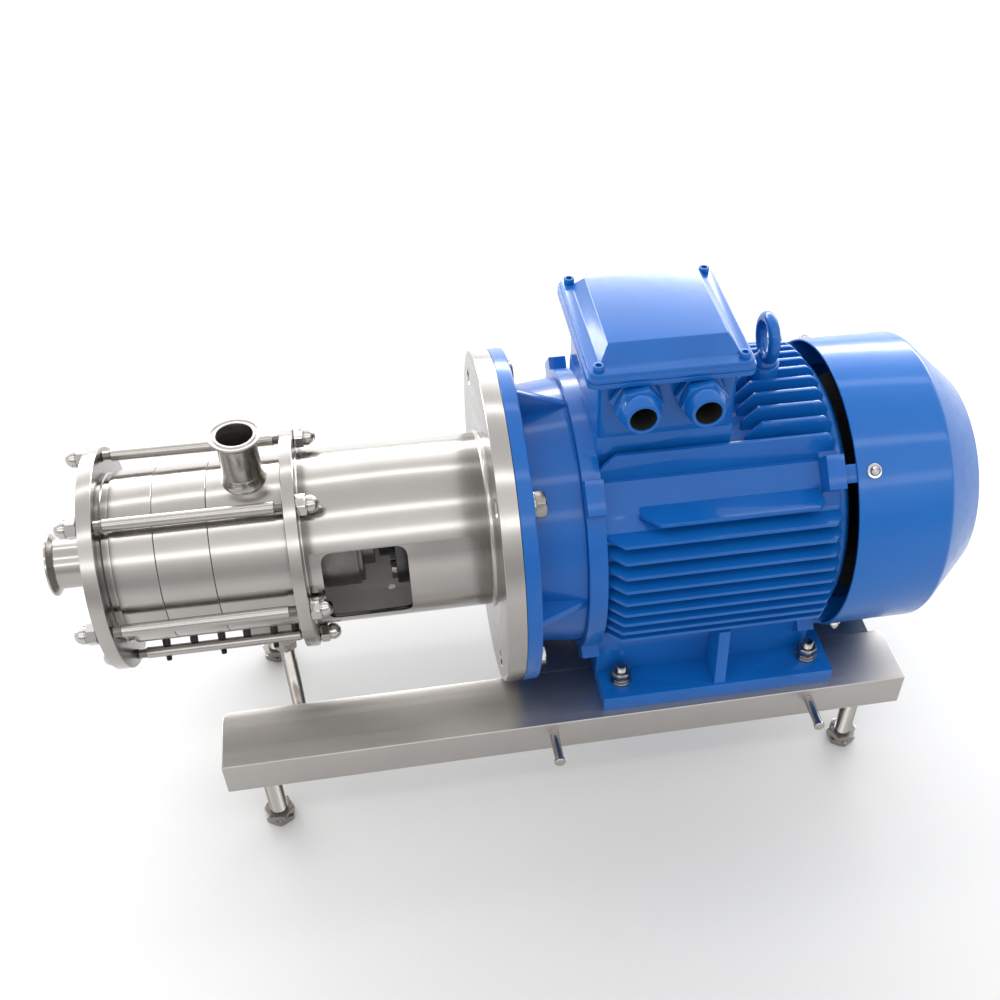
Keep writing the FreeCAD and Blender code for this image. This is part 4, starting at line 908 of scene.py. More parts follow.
@dataclass
class Base:
    """Two bent rails with their hood pins, and the levelling feet."""

    x0: float = -319.0
    x1: float = 427.0
    rail_y: float = 124.5
    width: float = 74.0
    top: float = -160.0
    height: float = 42.0
    sheet: float = 4.0
    bend_r: float = 9.0
    boss_r: float = 17.0
    boss_l: float = 37.5
    foot_x: tuple[float, float] = (-280.0, 391.0)
    foot_across: float = 30.0
    foot_h: float = 9.0
    nut_turn: float = 25.0
    stud_r: float = 10.0
    stud_l: float = 129.0
    stud_play: float = 0.15
    pin_x: tuple[float, float] = (29.0, 316.0)
    pin_z: float = -175.0
    pin_r: float = 5.0
    pin_head_r: float = 6.0
    pin_l: float = 41.0
    floor: float = -308.0

    def build(self) -> None:
        """Make the rails, pins and feet."""
        for side, node in zip(SIDES, ("base_rail_front", "base_rail_rear")):
            self.rail(side, node)
        self.pins()
        places = [(x, side * self.rail_y) for side in SIDES for x in self.foot_x]
        for number, (x, y) in enumerate(places, start=1):
            self.foot(number, x, y)

    def rail(self, side: int, node: str) -> None:
        """One rail, open below, with the bosses that its feet screw into.

        Args:
            side: -1 for the near one, 1 for the far one.
            node: the solid that it replaces.
        """
        y = side * self.rail_y
        half = self.width / 2
        low = self.top - self.height
        rail = brick("rail", (self.x0, y - half, low), (self.x1, y + half, self.top))
        self.bend(rail, (y - side * half) * MM)
        edit_faces(rail, lambda face: face.normal.z < -0.9)
        bpy.ops.mesh.inset(thickness=self.sheet * MM)
        depth = (self.height - self.sheet) * MM
        bpy.ops.mesh.extrude_region_move(TRANSFORM_OT_translate={"value": (0, 0, depth)})
        bpy.ops.mesh.select_all(action="SELECT")
        bpy.ops.mesh.normals_make_consistent(inside=False)
        bpy.ops.object.mode_set(mode="OBJECT")
        soften(rail, 1.3, 3)
        bore = self.stud_r + self.stud_play
        boss = turn("boss", rounded([(0, bore), (0, self.boss_r, 1), (self.boss_l, self.boss_r),
                                     (self.boss_l, bore)]), 40)
        bosses = repeated(boss, [{"place": (x, y, low), "way": UP} for x in self.foot_x])
        dress(node, [rail] + bosses, Coat.SHEET, Slot.STAINLESS)

    def bend(self, rail: bpy.types.Object, inner: float) -> None:
        """Round the two upright edges on the inner side of a rail.

        Args:
            rail: the rail's block.
            inner: place of its inner side, in metres.
        """
        pick(rail)
        bpy.ops.object.mode_set(mode="EDIT")
        bpy.ops.mesh.select_mode(type="EDGE")
        bpy.ops.mesh.select_all(action="DESELECT")
        bpy.ops.object.mode_set(mode="OBJECT")
        for edge in rail.data.edges:
            ends = [rail.data.vertices[v].co for v in edge.vertices]
            upright = abs(ends[0].z - ends[1].z) > self.height / 2 * MM
            edge.select = upright and all(abs(v.y - inner) < NEAR_ENOUGH for v in ends)
        bpy.ops.object.mode_set(mode="EDIT")
        bpy.ops.mesh.bevel(offset=self.bend_r * MM, segments=5, affect="EDGES")
        bpy.ops.object.mode_set(mode="OBJECT")

    def pins(self) -> None:
        """Hood pins on the rails' outer faces."""
        r, head, end = self.pin_r, self.pin_head_r, self.pin_l
        profile = [(-0.5, 0), (-0.5, r + 0.6), (1.0, r + 0.6), (1.4, r), (end - 5.8, r), (end - 5.0, r + 0.6),
                   (end - 4.6, head), (end - 1.6, head), (end - 0.7, head - 0.6), (end - 0.2, head - 1.8),
                   (end, head - 3.6), (end, 0)]
        outer = self.rail_y + self.width / 2
        pins = repeated(turn("pin", profile, 40, closed=False),
                        [{"place": (x, side * outer, self.pin_z), "way": (0, side, 0)}
                         for side in SIDES for x in self.pin_x])
        dress("hood_pins", pins, Coat.DRAWN, Slot.STAINLESS)

    def foot(self, number: int, x: float, y: float) -> None:
        """One levelling foot: threaded stud, hexagon foot and jammed nut.

        Args:
            number: number of the foot.
            x: place along the shaft.
            y: place across.
        """
        lower = moved(hexagon("foot_hex", self.foot_across, self.foot_h), (x, y, self.floor), way=UP)
        upper = moved(hexagon("foot_nut", self.foot_across, self.foot_h), (x, y, self.floor + self.foot_h),
                      way=UP, roll=self.nut_turn)
        end = self.stud_l
        profile = [(2, 0), (2, 8)] + thread(16, end - 2, self.stud_r, 2.5, 1.1) + [(end - 0.5, 7.5), (end, 0)]
        stud = moved(turn("foot_stud", profile, 36, closed=False), (x, y, self.floor), way=UP)
        dress("levelling_foot_%d" % number, [stud, lower, upper], Coat.ZINC, Slot.BRIGHT,
              Body["FOOT_%d" % number], smooth=40.0)


@dataclass
class PumpHead:
    """Plates, housings, pipes, tie rods and the locating screws."""

    plate_r: float = 113.0
    plate_bore: float = 25.5
    rear_bore: float = 28.1
    plate_edge: float = 1.2
    inlet_plate: tuple[float, float] = (-405.0, -391.0)
    rear_plate: tuple[float, float] = (-217.0, -204.5)
    stages: tuple[float, ...] = (-383.0, -342.0, -291.0, -217.0)
    seam: float = 0.15
    casing_r: float = 88.0
    spigot_r: float = 85.0
    bore_r: float = 68.0
    rod_circle: float = 104.0
    rod_r: float = 6.0
    rod_angles: tuple[float, ...] = (30.0, 90.0, 150.0, 210.0, 270.0, 330.0)
    nut_across: float = 19.0
    nut_l: float = 10.0
    dome_r: float = 9.0
    inlet_l: float = 75.0
    inlet_rim_r: float = 32.0
    inlet_pipe_r: float = 25.4
    inlet_bore_r: float = 23.8
    outlet_x: float = -254.0
    outlet_face: float = 141.0
    outlet_rim_r: float = 25.25
    outlet_pipe_r: float = 19.05
    outlet_bore_r: float = 17.5
    screw_angle: float = 150.0
    screw_r: float = 3.0
    screw_end: float = 115.0
    collar_r: float = 4.1
    long_screws: tuple[float, ...] = (-362.0, -306.0, -252.0)
    short_screws: tuple[float, ...] = (-334.0, -280.0, -230.0)

    def build(self) -> None:
        """Make every piece of the pump head."""
        self.plates()
        self.housings()
        self.inlet()
        self.outlet()
        self.rods()
        self.nuts()
        self.locating_screws()

    def plates(self) -> None:
        """Inlet plate with its spigot, and rear plate."""
        a, b = self.inlet_plate
        first, bore, edge = self.stages[0], self.plate_bore, self.plate_edge
        front = turn("front", rounded([(a, bore), (a, self.plate_r, edge), (b, self.plate_r, edge),
                                       (b, self.spigot_r + 1.2, 0.6), (b + 1.2, self.spigot_r),
                                       (first, self.spigot_r), (first, bore)]), 160)
        # faces square to the shaft take the darker stainless, painted shade
        dress("inlet_plate", [front], Coat.RIM, Slot.STAINLESS, patch=(Coat.FACED_PAINTED_SHADE, square))
        a, b = self.rear_plate
        rear = turn("rear", rounded([(a, self.rear_bore), (a, self.plate_r, edge), (b, self.plate_r, edge),
                                     (b, self.rear_bore)]), 160)
        # faces square to the shaft take the darker stainless, painted shade
        dress("rear_plate", [rear], Coat.RIM, Slot.STAINLESS, patch=(Coat.FACED_PAINTED_SHADE, square))

    def housings(self) -> None:
        """Stage housings and discharge casing, with a fine groove at each seam."""
        names = ("stage_housing_1", "stage_housing_2", "discharge_casing")
        for name, start, end in zip(names, self.stages, self.stages[1:]):
            a, b = start + self.seam, end - self.seam
            shell = turn("shell", rounded([(a, self.bore_r), (a, self.casing_r, 0.9), (b, self.casing_r, 0.9),
                                           (b, self.bore_r)]), 144)
            if name == "discharge_casing":
                bore = bar("bore", 0, 100, self.outlet_bore_r, 48)
                boolean(shell, moved(bore, (self.outlet_x, 0, 0), way=UP))
            dress(name, [shell], Coat.TURNED, Slot.STAINLESS)

    def inlet(self) -> None:
        """Inlet pipe with its clamp ferrule and the weld to the plate."""
        profile = self.ferrule(self.inlet_l, self.inlet_rim_r, self.inlet_pipe_r, self.inlet_bore_r)
        pipe = turn("pipe", profile, 96)
        moved(pipe, (self.stages[0], 0, 0), way=INWARD)
        face = self.inlet_plate[0]
        root = self.inlet_pipe_r - 0.2
        bead = turn("bead", [(face + 0.5, root), (face + 0.5, root + 3.4), (face - 0.8, root + 3.0),
                             (face - 1.9, root + 1.8), (face - 2.7, root)], 96)
        dress("inlet_pipe", [pipe, bead], Coat.TURNED, Slot.STAINLESS)

    def ferrule(self, length: float, rim_r: float, pipe_r: float, bore_r: float) -> list[Point]:
        """Profile of a pipe with a clamp ferrule at its far end.

        Args:
            length: length of the pipe.
            rim_r: outer radius of the ferrule.
            pipe_r: outer radius of the pipe.
            bore_r: radius of the bore.

        Returns:
            Closed profile from the pipe's near end.
        """
        cone = (rim_r - pipe_r) * 0.6
        groove = bore_r + (rim_r - bore_r) * 0.52
        face = length - 0.01
        floor = length - 1.2
        return rounded([(0, bore_r), (0, pipe_r), (length - 3.1 - cone, pipe_r, 2.0),
                        (length - 2.9, rim_r - 0.9, 0.5), (length - 2.0, rim_r, 0.4), (face, rim_r, 0.5),
                        (face, groove + 1.5, 0.2), (floor, groove + 0.9, 0.3), (floor, groove - 0.9, 0.3),
                        (face, groove - 1.5, 0.2), (face, bore_r, 0.4)])

    def outlet(self) -> None:
        """Outlet pipe with its clamp ferrule and the ground weld round its foot."""
        seat = (self.bore_r + self.casing_r) / 2 - 6
        length = self.outlet_face - seat
        profile = self.ferrule(length, self.outlet_rim_r, self.outlet_pipe_r, self.outlet_bore_r)
        pipe = turn("pipe", profile, 96)
        moved(pipe, (self.outlet_x, 0, seat), way=UP)
        low, inner, outer = self.casing_r - 9, self.outlet_bore_r + 0.3, self.outlet_pipe_r + 0.05
        flare = turn("flare", rounded([(low, inner), (low, 24.4), (85.5, 23.6, 4.0), (90.5, 20.6, 4.0),
                                       (96.5, outer, 1.5), (96.8, inner)], 0.0, 5), 96)
        moved(flare, (self.outlet_x, 0, 0), way=UP)
        boolean(flare, bar("casing", self.outlet_x - 60, self.outlet_x + 60, self.casing_r - 0.05, 144))
        dress("outlet_pipe", [pipe, flare], Coat.PIPE, Slot.STAINLESS,
              patch=(Coat.PIPE_BORE, looks_in(Axis.UPRIGHT, self.outlet_x)))

    def rods(self) -> None:
        """Tie rods with their threaded ends."""
        a, b, r = self.inlet_plate[1], self.rear_plate[0], self.rod_r
        ridge = r - 0.6
        profile = [(a - 12, 0)] + thread(a - 12, a + 7.4, ridge, 1.5, 0.8)
        profile += [(a + 8.0, r - 0.5), (a + 8.6, r), (b - 8.6, r), (b - 8.0, r - 0.5)]
        profile += thread(b - 7.4, b + 10, ridge, 1.5, 0.8) + [(b + 10, 0)]
        rods = repeated(turn("rod", profile, 36, closed=False),
                        [{"place": (0, *polar(angle, self.rod_circle))} for angle in self.rod_angles])
        dress("tie_rods", rods, Coat.DRAWN, Slot.BRIGHT)

    def nuts(self) -> None:
        """Dome nuts on both plates."""
        hexa = hexagon("nut", self.nut_across, self.nut_l, bite=0.93)
        r = self.dome_r
        start = self.nut_l + 3.0
        ball = [(start - 3.4, 0), (start - 3.4, r - 0.7), (start - 2.4, r - 0.7), (start - 1.8, r - 0.1),
                (start - 0.6, r)]
        for k in range(1, 13):
            angle = math.radians(90 * k / 12)
            ball.append((start + r * math.sin(angle), r * math.cos(angle)))
        dome = turn("dome", ball, 40, closed=False)
        spots = []
        for angle in self.rod_angles:
            y, z = polar(angle, self.rod_circle)
            spots.append({"place": (self.inlet_plate[0], y, z), "way": INWARD, "roll": angle})
            spots.append({"place": (self.rear_plate[1], y, z), "roll": angle})
        nuts = repeated(gathered("nut", [hexa, dome]), spots)
        dress("dome_nuts", nuts, Coat.POLISHED, Slot.BRIGHT)

    def locating_screws(self) -> None:
        """Dark radial screws from the casing through the lower front tie rod."""
        parts = []
        low, r = self.casing_r, self.screw_r
        for x in self.long_screws + self.short_screws:
            tail = self.screw_end if x in self.long_screws else self.rod_circle + 2
            profile = [(low - 6, 0), (low - 6, r - 0.1)] + thread(low + 2, tail - 1.2, r, 1.0, 0.4)
            screw = turn("screw", profile + [(tail - 0.4, r - 0.4), (tail, 0)], 24, closed=False)
            collar = turn("collar", rounded([(low + 0.1, 2.5), (low + 0.1, self.collar_r),
                                             (low + 9.4, self.collar_r, 0.5), (low + 9.4, 2.5)]), 24)
            parts.append(moved(gathered("screw", [screw, collar]), (x, 0, 0), way=UP))
        screws = moved(gathered("screws", parts), turned=self.screw_angle)
        dress("locating_screws", [screws], Coat.BLACK, Slot.DARK)


@dataclass
class Lantern:
    """Lantern tube with its window, adapter flange, seal housing, coupling and support."""

    x0: float = -204.5
    x1: float = -19.0
    radius: float = 91.0
    wall: float = 5.0
    window: tuple[float, float, float, float] = (-189.0, -105.0, -40.0, 47.0)
    window_round: float = 11.0
    drain_x: float = -125.0
    drain_r: float = 4.0
    flange_r: float = 175.0
    flange_bore: float = 86.0
    recess_r: float = 125.2
    recess: float = 6.0
    bolt_circle: float = 150.0
    hole_r: float = 8.6
    hole_mouth_r: float = 11.4
    seal_r: float = 54.0
    joint_x: float = -104.0
    coupling_r: float = 58.0
    coupling_t: float = 13.0
    coupling_bolts: int = 8
    coupling_circle: float = 47.0
    bolt_across: float = 13.0
    support_x: float = -250.0
    saddle_low: Place = (-284.0, -22.0, -118.0)
    saddle_high: Place = (-221.0, 22.0, -68.0)
    casing_r: float = 88.0
    boss_l: float = 29.0
    boss_end: float = -146.0
    lock_nut_h: float = 13.0
    floor: float = -308.0
    stud_r: float = 8.0
    stud_l: float = 204.0

    def build(self) -> None:
        """Make every piece of the lantern."""
        self.tube()
        self.flange()
        self.seal_housing()
        self.coupling()
        self.coupling_screws()
        self.support()
        self.support_foot()

    def tube(self) -> None:
        """Welded tube with its window and drain hole; its inner faces are painted light."""
        inside = self.radius - self.wall
        tube = turn("tube", [(self.x0, inside), (self.x0, self.radius), (self.x1, self.radius),
                             (self.x1, inside)], 192)
        a, b, low, high = self.window
        outline = rounded([(a, low), (b, low), (b, high), (a, high)], self.window_round, 6)
        boolean(tube, moved(slab("cutter", outline, 60.0, Plane.ALONG), (0, -self.radius - 19, 0)))
        drain = bar("drain", 0, 30, self.drain_r, 24)
        boolean(tube, moved(drain, (self.drain_x, 0, -self.radius - 14), way=UP))
        soften(tube, 0.7, 2, 40.0)
        beads = [self.bead(self.x1, -1, 3.0), self.bead(self.x0, 1, 1.2)]
        # the faces that look in take the near-white painted light
        dress("lantern_tube", [tube] + beads, Coat.TUBE, Slot.STAINLESS,
              patch=(Coat.INNER_PAINTED_LIGHT, looks_in(Axis.SHAFT)))

    def bead(self, x: float, way: int, size: float) -> bpy.types.Object:
        """Weld bead round the tube at one end.

        Args:
            x: end of the tube.
            way: direction along x in which the bead lies.
            size: height of the bead.

        Returns:
            The bead.
        """
        parts = 6
        root = self.radius - 1
        reach = way * size * 1.3
        profile = [(x, root)]
        for k in range(parts + 1):
            angle = math.radians(90 * k / parts)
            profile.append((x + reach * math.sin(angle), self.radius + size * math.cos(angle)))
        return turn("bead", profile + [(x + reach, root)], 144)

    def flange(self) -> None:
        """Adapter flange with its bolt holes."""
        x, recess = self.x1, -self.recess
        ring = turn("ring", rounded([(x, self.flange_bore), (x, self.flange_r, 1.4), (0, self.flange_r, 1.4),
                                     (0, self.recess_r), (recess, self.recess_r),
                                     (recess, self.flange_bore)]), 192)
        profile = [(x - 1, 0), (x - 1, self.hole_mouth_r), (x + 1.8, self.hole_r), (2, self.hole_r), (2, 0)]
        for angle in DIAGONALS:
            hole = turn("hole", profile, 40, closed=False)
            boolean(ring, moved(hole, (0, *polar(angle, self.bolt_circle))))
        # faces square to the shaft take the darker stainless, painted shade
        dress("adapter_flange", [ring], Coat.RIM, Slot.STAINLESS, patch=(Coat.FACED_PAINTED_SHADE, square))

    def seal_housing(self) -> None:
        """Seal housing with its collar."""
        r = self.seal_r
        housing = turn("housing", rounded([(self.x0, 38), (self.x0, r), (-154, r, 1.5), (-154, r - 3),
                                           (-150, r - 3, 1.0), (-150, 34), (-138, 34, 1.0), (-138, 18.6),
                                           (-158, 18.6), (-158, 38)]), 96)
        dress("seal_housing", [housing], Coat.SEAL_GREY, Slot.STAINLESS)

    def coupling(self) -> None:
        """Both coupling halves."""
        a, b = self.joint_x - 0.2, self.joint_x + 0.2
        back, front = self.joint_x - self.coupling_t, self.joint_x + self.coupling_t
        r = self.coupling_r
        pump = turn("half", rounded([(-133, 17.6), (-133, 28, 1.5), (back, 28), (back, r, 1.2), (a, r, 0.6),
                                     (a, 21.6), (self.joint_x - 7, 21.6), (self.joint_x - 7, 17.6)]), 96)
        motor = turn("half", rounded([(b, 21.1), (b, r, 0.6), (front, r, 1.2), (front, 32), (-34, 32, 1.5),
                                      (-34, 21.1)]), 96)
        dress("coupling_halves", [pump, motor], Coat.IRON, Slot.IRON, Body.ROTATING)

    def coupling_screws(self) -> None:
        """Bolts and nuts round the coupling."""
        t = self.coupling_t
        head = moved(hexagon("head", self.bolt_across, 5.5, both_ends=False), (-t, 0, 0), way=INWARD)
        nut = moved(hexagon("nut", self.bolt_across, 6.5), (t, 0, 0))
        profile = [(-t - 1, 0), (-t - 1, 4)] + thread(t + 6.5, t + 8.8, 4.0, 0.9, 0.4)
        profile += [(t + 9, 3.2), (t + 9, 0)]
        bolt = gathered("bolt", [head, nut, turn("shank", profile, 24, closed=False)])
        step = 360.0 / self.coupling_bolts
        bolts = repeated(bolt, [{"place": (self.joint_x, *polar(step * (k + 1 / 3), self.coupling_circle))}
                                for k in range(self.coupling_bolts)])
        dress("coupling_bolts", bolts, Coat.ZINC, Slot.BRIGHT, Body.ROTATING)

    def support(self) -> None:
        """Saddle under the casing with its boss, and the lock nut."""
        x, low = self.support_x, self.saddle_low[2]
        saddle = brick("saddle", self.saddle_low, self.saddle_high)
        soften(saddle, 1.5, 3)
        boolean(saddle, bar("casing", -300, -200, self.casing_r, 144))
        bore, length = self.stud_r + 0.1, self.boss_l
        boss = turn("boss", rounded([(0, bore), (0, 15, 1), (length, 15), (length, bore)]), 48)
        moved(boss, (x, 0, self.boss_end), way=UP)
        bead = turn("bead", [(0, 14.5), (0, 17), (-1.2, 16.4), (-2, 14.5)], 48)
        moved(bead, (x, 0, low), way=UP)
        dress("pump_support", [saddle, boss, bead], Coat.SHEET, Slot.STAINLESS)
        nut = hexagon("nut", 24.0, self.lock_nut_h, bore=self.stud_r + 0.06)
        moved(nut, (x, 0, self.boss_end - self.lock_nut_h), way=UP)
        dress("support_lock_nut", [nut], Coat.ZINC, Slot.BRIGHT)

    def support_foot(self) -> None:
        """Foot under the pump head with its threaded stud."""
        hexa = hexagon("foot", 27.0, 12.0)
        end = self.stud_l
        profile = [(10, 0), (10, 13.2), (12, 13.2), (20, 9)] + thread(22, end - 1, self.stud_r, 2.0, 0.9)
        stud = turn("stud", profile + [(end, self.stud_r - 1.4), (end, 0)], 32, closed=False)
        foot = moved(gathered("foot", [stud, hexa]), (self.support_x, 0, self.floor), way=UP)
        dress("support_foot", [foot], Coat.ZINC, Slot.BRIGHT, Body.SUPPORT, smooth=40.0)


@dataclass
class Motor:
    """Cast motor: drive end shield, finned frame on its feet, rear shield and fan cover."""

    flange_r: float = 175.0
    flange_t: float = 15.0
    spigot_r: float = 125.0
    bolt_circle: float = 150.0
    rib_t: float = 9.0
    bolt_across: float = 24.0
    bolt_r: float = 7.8
    body_r: float = 134.0
    bore_r: float = 125.0
    body: tuple[float, float] = (66.0, 322.0)
    fin_r: float = 158.0
    fin_t: float = 4.0
    fin_pitch: float = 15.5
    side_fins: int = 9
    side_fin_top: float = 70.0
    side_root: float = 94.0
    wide_fin_x: tuple[float, float] = (120.0, 302.0)
    wide_fin_t: float = 5.0
    top_pitch: float = 16.0
    top_fins: int = 11
    fin_x: tuple[float, float] = (84.0, 320.0)
    chamfer: float = 16.0
    ring_r: float = 148.0
    ring_l: float = 18.0
    end_r: float = 140.5
    lug: tuple[float, float, float] = (34.0, 105.0, 160.0)
    box: tuple[float, float, float] = (149.0, 132.0, 142.0)
    pad_z: tuple[float, float] = (108.0, 150.0)
    eye_x: float = 266.0
    foot_x: tuple[float, float] = (85.0, 341.0)
    foot_y: tuple[float, float] = (90.0, 153.0)
    foot_z: tuple[float, float] = (-160.0, -140.0)
    web_x: float = 207.0
    web_t: float = 12.0
    web_top: float = -66.0
    hole_x: tuple[float, float] = (108.0, 318.0)
    hole_y: float = 127.0
    hole_r: float = 7.25
    stud_r: float = 6.0
    nut_across: float = 19.0
    washer_r: float = 12.0
    boss_half: float = 9.0
    cover_r: float = 156.5
    cover_t: float = 2.0
    cover_x: tuple[float, float, float] = (335.0, 433.0, 485.0)
    cover_end_r: float = 110.0
    slot_rings: tuple[tuple[float, float, int], ...] = ((28.0, 58.0, 10), (66.0, 98.0, 16))
    slot_half: float = 4.0
    cover_angles: tuple[float, ...] = (46.0, 136.0, 226.0, 316.0)
    screw_x: float = 352.0

    def build(self) -> None:
        """Make every outer piece of the motor."""
        self.drive_shield()
        self.flange_bolts()
        self.frame()
        self.foot_nuts()
        self.foot_bolts()
        self.rear_shield()
        self.fan_cover()
        self.cover_screws()

    def drive_shield(self) -> None:
        """Blue flange with its bell and ribs."""
        r, t, end = self.flange_r, self.flange_t, self.body[0]
        shield = turn("shield", rounded([(-5, 30), (-5, self.spigot_r), (0, self.spigot_r), (0, r, 1.0),
                                         (t, r, 2.2), (t, 135, 3.5), (end - 4, 140, 2.0), (end, 140, 1.0),
                                         (end, 110), (24, 110), (24, 66), (8, 58), (8, 30)], 0.0, 4), 160)
        outline = [(t - 1, 123), (t - 1, 163), (t + 5, 160), (end, 140), (end, 123)]
        rib = moved(slab("rib", outline, self.rib_t, Plane.ALONG), (0, -self.rib_t / 2, 0))
        ribs = repeated(rib, [{"turned": angle} for angle in (0, 90, 180, 270)])
        boolean(shield, gathered("ribs", ribs), Work.JOIN, True)
        soften(shield, 1.0, 2, 40.0)
        dress("drive_end_shield", [shield], Coat.CAST_BLUE, Slot.BLUE)

    def flange_bolts(self) -> None:
        """Hexagon bolts and washers behind the flange, their ends flush in the adapter."""
        t, r = self.flange_t, self.bolt_r
        head = moved(hexagon("head", self.bolt_across, 10.0, both_ends=False), (t + 3, 0, 0))
        outline = rounded([(t, 0), (t, 14, 0.4), (t + 3, 14, 0.8), (t + 3, 0)])
        washer = turn("washer", outline, 48, closed=False)
        profile = [(-16.4, 0), (-16.4, r - 1.6), (-15.0, r), (t + 2, r), (t + 2, 0)]
        shank = turn("shank", profile, 36, closed=False)
        bolts = repeated(gathered("bolt", [head, washer, shank]),
                         [{"place": (0, *polar(angle, self.bolt_circle)), "roll": angle + 30}
                          for angle in DIAGONALS])
        dress("flange_bolts", bolts, Coat.ZINC, Slot.BRIGHT)

    def reach(self, height: float) -> float:
        """Distance from the shaft's plane at which a fin meets the tip circle."""
        return math.sqrt(self.fin_r ** 2 - height ** 2)

    def fin_outline(self, x0: float, x1: float, root: float, tip: float, side: int = 1) -> list[Point]:
        """Outline of a fin with its ends cut back.

        Args:
            x0: start along the shaft.
            x1: end along the shaft.
            root: distance of its root from the shaft's plane.
            tip: distance of its tip.
            side: -1 for a fin that points the other way.

        Returns:
            The outline's points.
        """
        cut = self.chamfer
        half = cut * 0.5
        corners = [(x0, root), (x0, tip - cut, 1.5), (x0 + cut, tip, 1.5), (x1 - half, tip, 1.5),
                   (x1, tip - half, 1.5), (x1, root)]
        return rounded([(corner[0], side * corner[1], *corner[2:]) for corner in corners], 0.0, 2)

    def side_fin(self, z: float, side: int, span: tuple[float, float], thick: float) -> bpy.types.Object:
        """Fin that lies flat beside the body.

        Args:
            z: height of its middle.
            side: -1 for the near side, 1 for the far side.
            span: start and end along the shaft.
            thick: thickness.

        Returns:
            The fin.
        """
        outline = self.fin_outline(*span, self.side_root, self.reach(z), side)
        return moved(slab("fin", outline, thick, Plane.LEVEL), (0, 0, z - thick / 2))

    def top_fin(self, y: float, x0: float) -> bpy.types.Object:
        """Fin that stands on top of the body.

        Args:
            y: place of its middle across the shaft.
            x0: start along the shaft.

        Returns:
            The fin.
        """
        root = math.sqrt(self.body_r ** 2 - y ** 2) - 6
        outline = self.fin_outline(x0, self.fin_x[1], root, self.reach(abs(y) + self.fin_t / 2))
        return moved(slab("fin", outline, self.fin_t, Plane.ALONG), (0, y - self.fin_t / 2, 0))

    def frame(self) -> None:
        """Body with its fins, end rings, lugs, feet and the pad of the terminal box."""
        a, b = self.body
        bore, ring = self.bore_r, self.ring_l
        body = turn("body", [(a, bore), (a, self.ring_r), (a + ring, self.ring_r), (a + ring, self.body_r),
                             (b - ring, self.body_r), (b - ring, self.end_r), (b, self.end_r),
                             (b, bore)], 144)
        parts = []
        for side in SIDES:
            for k in range(self.side_fins):
                z = self.side_fin_top - k * self.fin_pitch
                parts.append(self.side_fin(z, side, self.fin_x, self.fin_t))
            parts.append(self.side_fin(self.side_fin_top + self.fin_pitch, side, self.wide_fin_x,
                                       self.wide_fin_t))
            parts += [self.corner_pad(side)] + self.foot(side)
        centre, length, width = self.box
        for k in range(self.top_fins):
            y = (k - (self.top_fins - 1) / 2) * self.top_pitch
            x0 = self.fin_x[0] if abs(y) > width / 2 else centre + length / 2 + ring
            parts.append(self.top_fin(y, x0))
        parts.append(brick("pad", (centre - length / 2, -width / 2, self.pad_z[0]),
                           (centre + length / 2, width / 2, self.pad_z[1])))
        boss = turn("boss", [(0, 0), (0, 17), (40, 15), (50, 15), (50, 0)], 40, closed=False)
        parts.append(moved(boss, (self.eye_x, 0, 118), way=UP))
        parts += self.lugs()
        boolean(body, gathered("castings", parts), Work.JOIN, True)
        soften(body, 0.8, 2, 30.0)
        dress("motor_frame", [body], Coat.CAST_BLUE, Slot.BLUE)

    def corner_pad(self, side: int) -> bpy.types.Object:
        """Sloped web between the side fins and the top fins.

        Args:
            side: -1 for the near side, 1 for the far side.

        Returns:
            The web.
        """
        start = self.fin_x[0] - 1
        outline = [(side * 128, 66), (side * 86, 106), (side * 70, 106), (side * 90, 66)]
        return moved(slab("corner", outline, self.fin_x[1] - start, Plane.ACROSS), (start, 0, 0))

    def foot(self, side: int) -> list[bpy.types.Object]:
        """Foot of one side.

        Args:
            side: -1 for the near side, 1 for the far side.

        Returns:
            Its bar with the bolt holes, its leg and its middle web.
        """
        low, high = self.foot_z
        near, far = sorted(side * y for y in self.foot_y)
        block = brick("block", (self.foot_x[0], near, low), (self.foot_x[1], far, high))
        for x in self.hole_x:
            hole = bar("hole", 0, 30, self.hole_r, 32)
            boolean(block, moved(hole, (x, side * self.hole_y, low - 5), way=UP))
        near, far = sorted((side * 70, side * 112))
        leg = brick("leg", (self.fin_x[0], near, low + 2), (self.body[1] - 0.5, far, -62))
        top = self.web_top
        corners = [(71, low + 2), (71, top), (self.reach(top), top), (151, high - 2), (151, low + 2)]
        web = slab("web", [(side * y, z) for y, z in corners], self.web_t, Plane.ACROSS)
        moved(web, (self.web_x, 0, 0))
        return [block, leg, web]

    def lugs(self) -> list[bpy.types.Object]:
        """Lugs at both ends of the body."""
        width, low, high = self.lug
        out = []
        for angle in DIAGONALS:
            for x in (self.body[0], self.body[1] - self.ring_l):
                lug = brick("lug", (x + 0.05, -width / 2, low), (x + self.ring_l - 0.05, width / 2, high))
                out.append(moved(lug, turned=angle))
        return out

    def foot_nuts(self) -> None:
        """Flat washer, spring washer and nut on each foot."""
        bore, flat_r = self.stud_r + 0.1, self.washer_r
        spring_r = flat_r - 1.5
        flat = turn("flat", rounded([(0, bore), (0, flat_r, 0.3), (2.5, flat_r, 0.6), (2.5, bore)]), 40)
        spring = turn("spring", rounded([(2.6, bore), (2.6, spring_r, 0.5), (5.4, spring_r, 0.5),
                                         (5.4, bore)]), 40)
        nut = moved(hexagon("nut", self.nut_across, 10.0, bore=bore), (5.5, 0, 0))
        top = self.foot_z[1]
        nuts = repeated(gathered("stack", [flat, spring, nut]),
                        [{"place": (x, side * self.hole_y, top), "way": UP, "roll": 20 * side + x}
                         for x in self.hole_x for side in SIDES])
        dress("foot_nuts", nuts, Coat.ZINC, Slot.BRIGHT)

